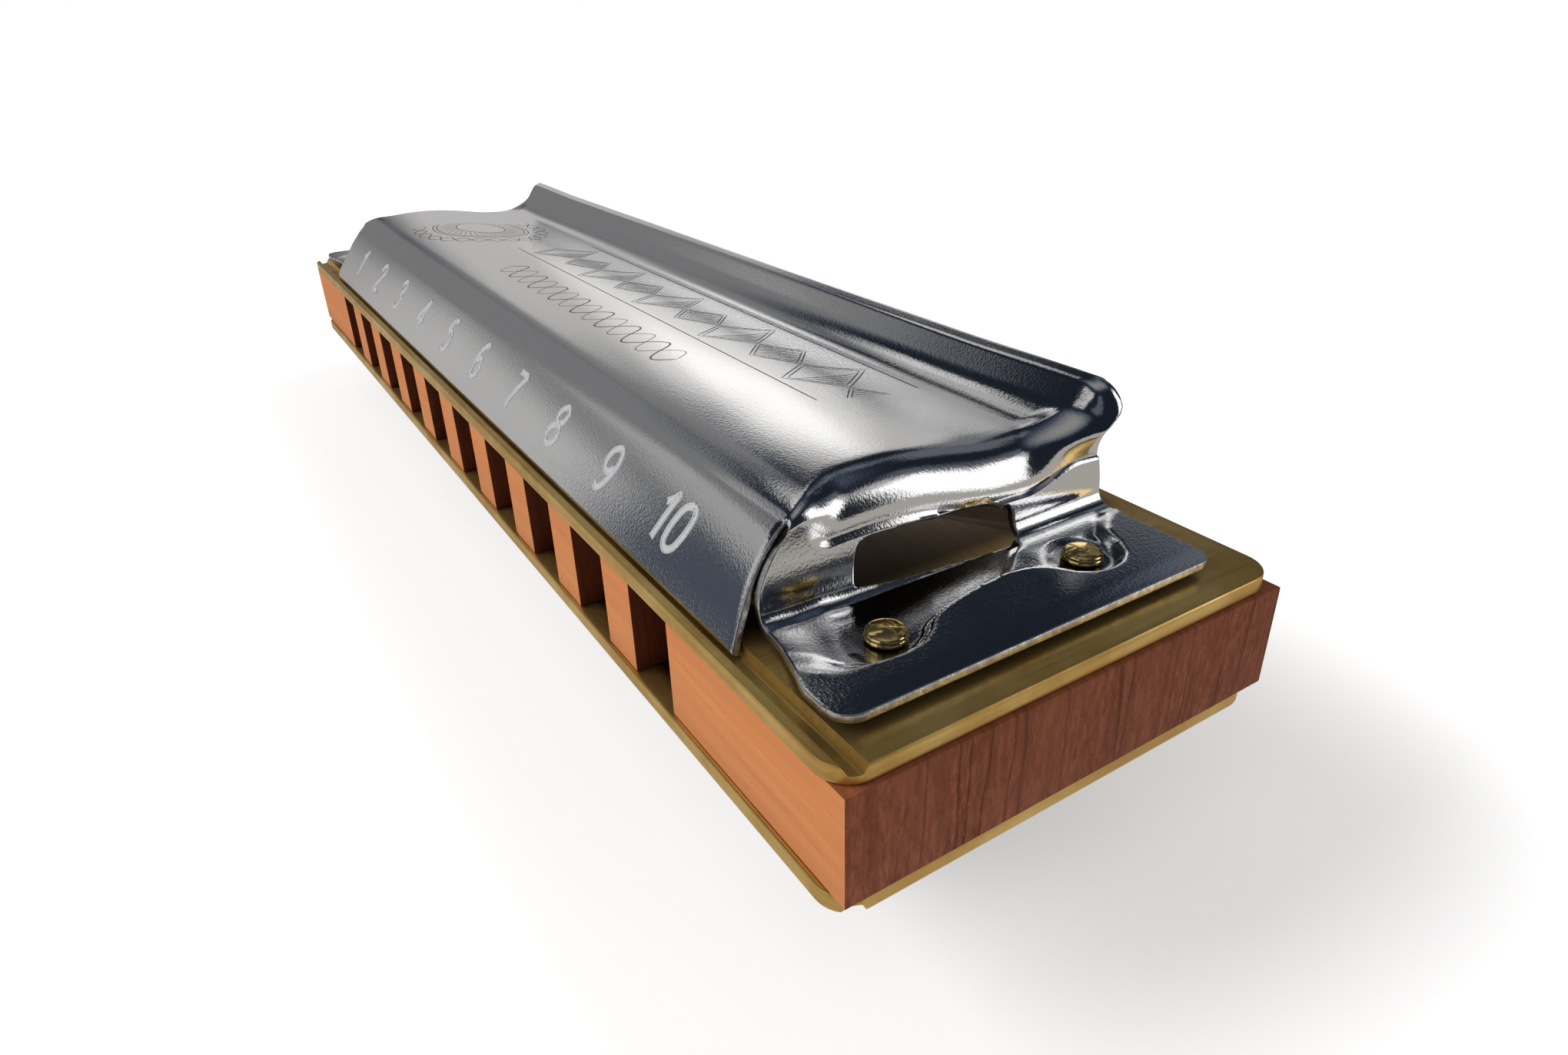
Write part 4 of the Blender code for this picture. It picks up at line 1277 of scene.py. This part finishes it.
# ============================================================ floor
def floor_material():
    """White paper.  Polished metal sees a greyer table than the camera does: painted shade standing
    for the floor shadowed near the object.
    """
    look = Look("floor_paper")
    tone = look.mix(look.noise(scale=8), (0.80, 0.80, 0.805), (0.83, 0.83, 0.835))
    reflected_floor_shade = look.new("ShaderNodeEmission", {"Color": (0.42, 0.395, 0.36, 1)})
    ray = look.new("ShaderNodeLightPath").outputs
    # painted light: past the soft shadow the floor glows brighter for the camera, fading into plain
    # white
    place = look.separate(look.geometry("Position"))
    past = [look.math("MAXIMUM", look.minus(look.size(place[axis]), half), 0.0)
            for axis, half in ((0, 0.051), (1, 0.013))]
    squares = [look.times(reach, reach) for reach in past]
    away = look.math("SQRT", look.plus(*squares))
    white = look.times(look.span(away, over=(0.005, 0.020), to=(0.0, 0.24)),
                       ray["Is Camera Ray"])
    look.surface({"Base Color": tone, "Roughness": 0.9, "Specular IOR Level": 0.0,
                  "Emission Color": (1, 1, 1, 1), "Emission Strength": look.plus(white, 0.35)})
    seen = look.mix_shader(ray["Is Glossy Ray"], look.shader.outputs[0], reflected_floor_shade.outputs[0])
    look.plug(look.tree.nodes["Material Output"].inputs[0], seen)
    return look.material


FLOOR_HALF = 9000
floor_z = -max(abs(COVER_TOP), 10.6) - 0.12
floor = add_mesh("floor", [(x * FLOOR_HALF, y * FLOOR_HALF, floor_z)
                           for x, y in ((-1, -1), (1, -1), (1, 1), (-1, 1))],
                 [(0, 1, 2, 3)], floor_material(), body=None)

# ============================================================ camera
CAMERA_AT = (72.933, -28.418, 28.085)
CAMERA_RIGHT = (0.54197, 0.84007, -0.02347)
CAMERA_DOWN = (0.37400, -0.26611, -0.88843)
CAMERA_AHEAD = (-0.75259, 0.47272, -0.45841)


def make_camera():
    data = bpy.data.cameras.new("camera")
    camera = bpy.data.objects.new("camera", data)
    bpy.context.scene.collection.objects.link(camera)
    bpy.context.scene.camera = camera
    data.sensor_fit = "HORIZONTAL"
    data.sensor_width = 36.0
    data.lens = 22.9005882
    data.shift_x = -0.00529411765
    data.shift_y = -0.00661764706
    data.clip_start = 0.002
    data.clip_end = 100.0
    right, down, ahead = (Vector(axis).normalized()
                          for axis in (CAMERA_RIGHT, CAMERA_DOWN, CAMERA_AHEAD))
    pose = Matrix.Identity(4)
    for k in range(3):
        pose[k] = (right[k], -down[k], -ahead[k], CAMERA_AT[k] * MM)
    camera.matrix_world = pose


make_camera()

# ============================================================ light
# What the polished sheet can see, as soft-edged patches of the surroundings.
# Azimuth runs from -X towards +Y, then elevation, in degrees; each row holds
# (azimuth from, to, elevation from, to, edge softness in both, brightness).
PATCHES = [
    (-32.5, -15, -12, 11, 1, 5, 0.5),          # left wall, its front part
    (-21, -4, -12, 7, 5, 4, 0.33),             # left wall, nearer the middle
    (-33, 5, -12, 35, 3, 3, 0.21),             # left wall round them, dimmer
    (-46, -21, 14, 27, 2, 1.5, 0.38),          # panel at the front left
    (-58, -40, 14.5, 28, 3, 1.5, 0.5),         # its neighbour
    (3, 22, 14, 35, 3, 3, 0.22),               # narrow panel at the left
    (3, 33, 38.5, 44, 2, 1.5, 0.5),            # strip above it
    (-8, 8, 41, 46, 3, 1.5, 0.85),             # short bright strip
    (3, 22, 42, 50, 3, 2, 0.45),               # and its end
    (9, 49, -12, 24, 4, 4, 0.52),              # large panel behind to the left
    (19, 42, -4, 25.5, 5, 3, 0.8),             # brighter towards the middle
    (23, 39, 10, 25, 5, 4, 1.2),               # brightest there
    (27, 40, 26, 31, 4, 2, 0.4),               # its upper edge
    (46, 62, 10, 27, 3, 3, 0.19),              # dark grey wall behind
    (56, 82, 24, 46, 4, 4, 0.15),              # the same further round
    (44, 66, 46, 58, 5, 4, 0.15),              # and higher
    (119, 142, -6, 37, 4, 5, 1.4),             # tall softbox behind to the right
    (123, 144, 34, 46, 5, 5, 0.5),             # its upper edge
    (107, 122, 26, 50, 6, 5, 0.14),            # spill beside it
    (-112, -64, 6, 46, 6, 6, 0.6),             # panel at the front
    (-165, -138, 14, 44, 6, 6, 0.13),          # panel at the right
    (-62, -32.5, -12, 15, 3, 1.5, 0.1),        # dim patch low at the front left
]


def studio_world():
    """White for the camera; for everything else a dark studio with large soft
    panels, so that polished metal has something to show."""
    world = bpy.data.worlds.new("studio")
    bpy.context.scene.world = world
    world.use_nodes = True
    world.node_tree.nodes.clear()
    sky = Nodes(world.node_tree)
    output = sky.new("ShaderNodeOutputWorld")
    x, y, z = sky.separate(sky.new("ShaderNodeTexCoord").outputs["Generated"])
    degrees = 180 / math.pi
    azimuth = sky.times(sky.math("ARCTAN2", y, sky.times(x, -1.0)), degrees)
    elevation = sky.times(sky.math("ARCSINE", sky.math("MINIMUM", z, 1.0)), degrees)

    def step(angle, at, soft, to=(0.0, 1.0)):
        return sky.span(angle, over=(at - soft, at + soft), to=to)

    light = sky.span(elevation, over=(50, 90), to=(0.022, 0.28))
    for left, right, low, high, soft_az, soft_el, level in PATCHES:
        mask = sky.times(step(azimuth, left, soft_az), step(azimuth, right, soft_az, (1, 0)))
        mask = sky.times(mask, step(elevation, low, soft_el))
        mask = sky.times(mask, step(elevation, high, soft_el, (1, 0)))
        light = sky.math("MAXIMUM", light, sky.times(mask, level))
    dim_blue, warm_white = (0.50, 0.66, 1.0), (1.0, 0.985, 0.965)
    tone = sky.mix(sky.span(light, over=(0.02, 0.25)), dim_blue, warm_white)

    def background(colour, strength):
        inputs = {"Color": colour, "Strength": strength}
        return sky.new("ShaderNodeBackground", inputs).outputs[0]

    reflected = background(tone, light)
    white = background((1, 1, 1, 1), 1.0)
    soft = background((1, 0.99, 0.975, 1), 0.38)
    ray = sky.new("ShaderNodeLightPath").outputs
    unseen = sky.mix_shader(ray["Is Diffuse Ray"], reflected, soft)
    sky.plug(output.inputs[0], sky.mix_shader(ray["Is Camera Ray"], unseen, white))


def sun(name, toward, strength, angle):
    """A very soft lamp a long way off; toward is the direction its light travels."""
    data = bpy.data.lights.new(name, "SUN")
    data.energy = strength
    data.angle = math.radians(angle)
    ob = bpy.data.objects.new(name, data)
    bpy.context.scene.collection.objects.link(ob)
    ob.rotation_euler = Vector(toward).to_track_quat("-Z", "Y").to_euler()
    ob.visible_glossy = False


studio_world()
sun("soft_key", toward=(0.52, 0.78, -0.55), strength=2.05, angle=34)
sun("soft_fill", toward=(-0.3, 0.5, -0.9), strength=0.3, angle=60)

view = bpy.context.scene.view_settings
view.view_transform = "Standard"
view.look = "None"
view.exposure = 0.0
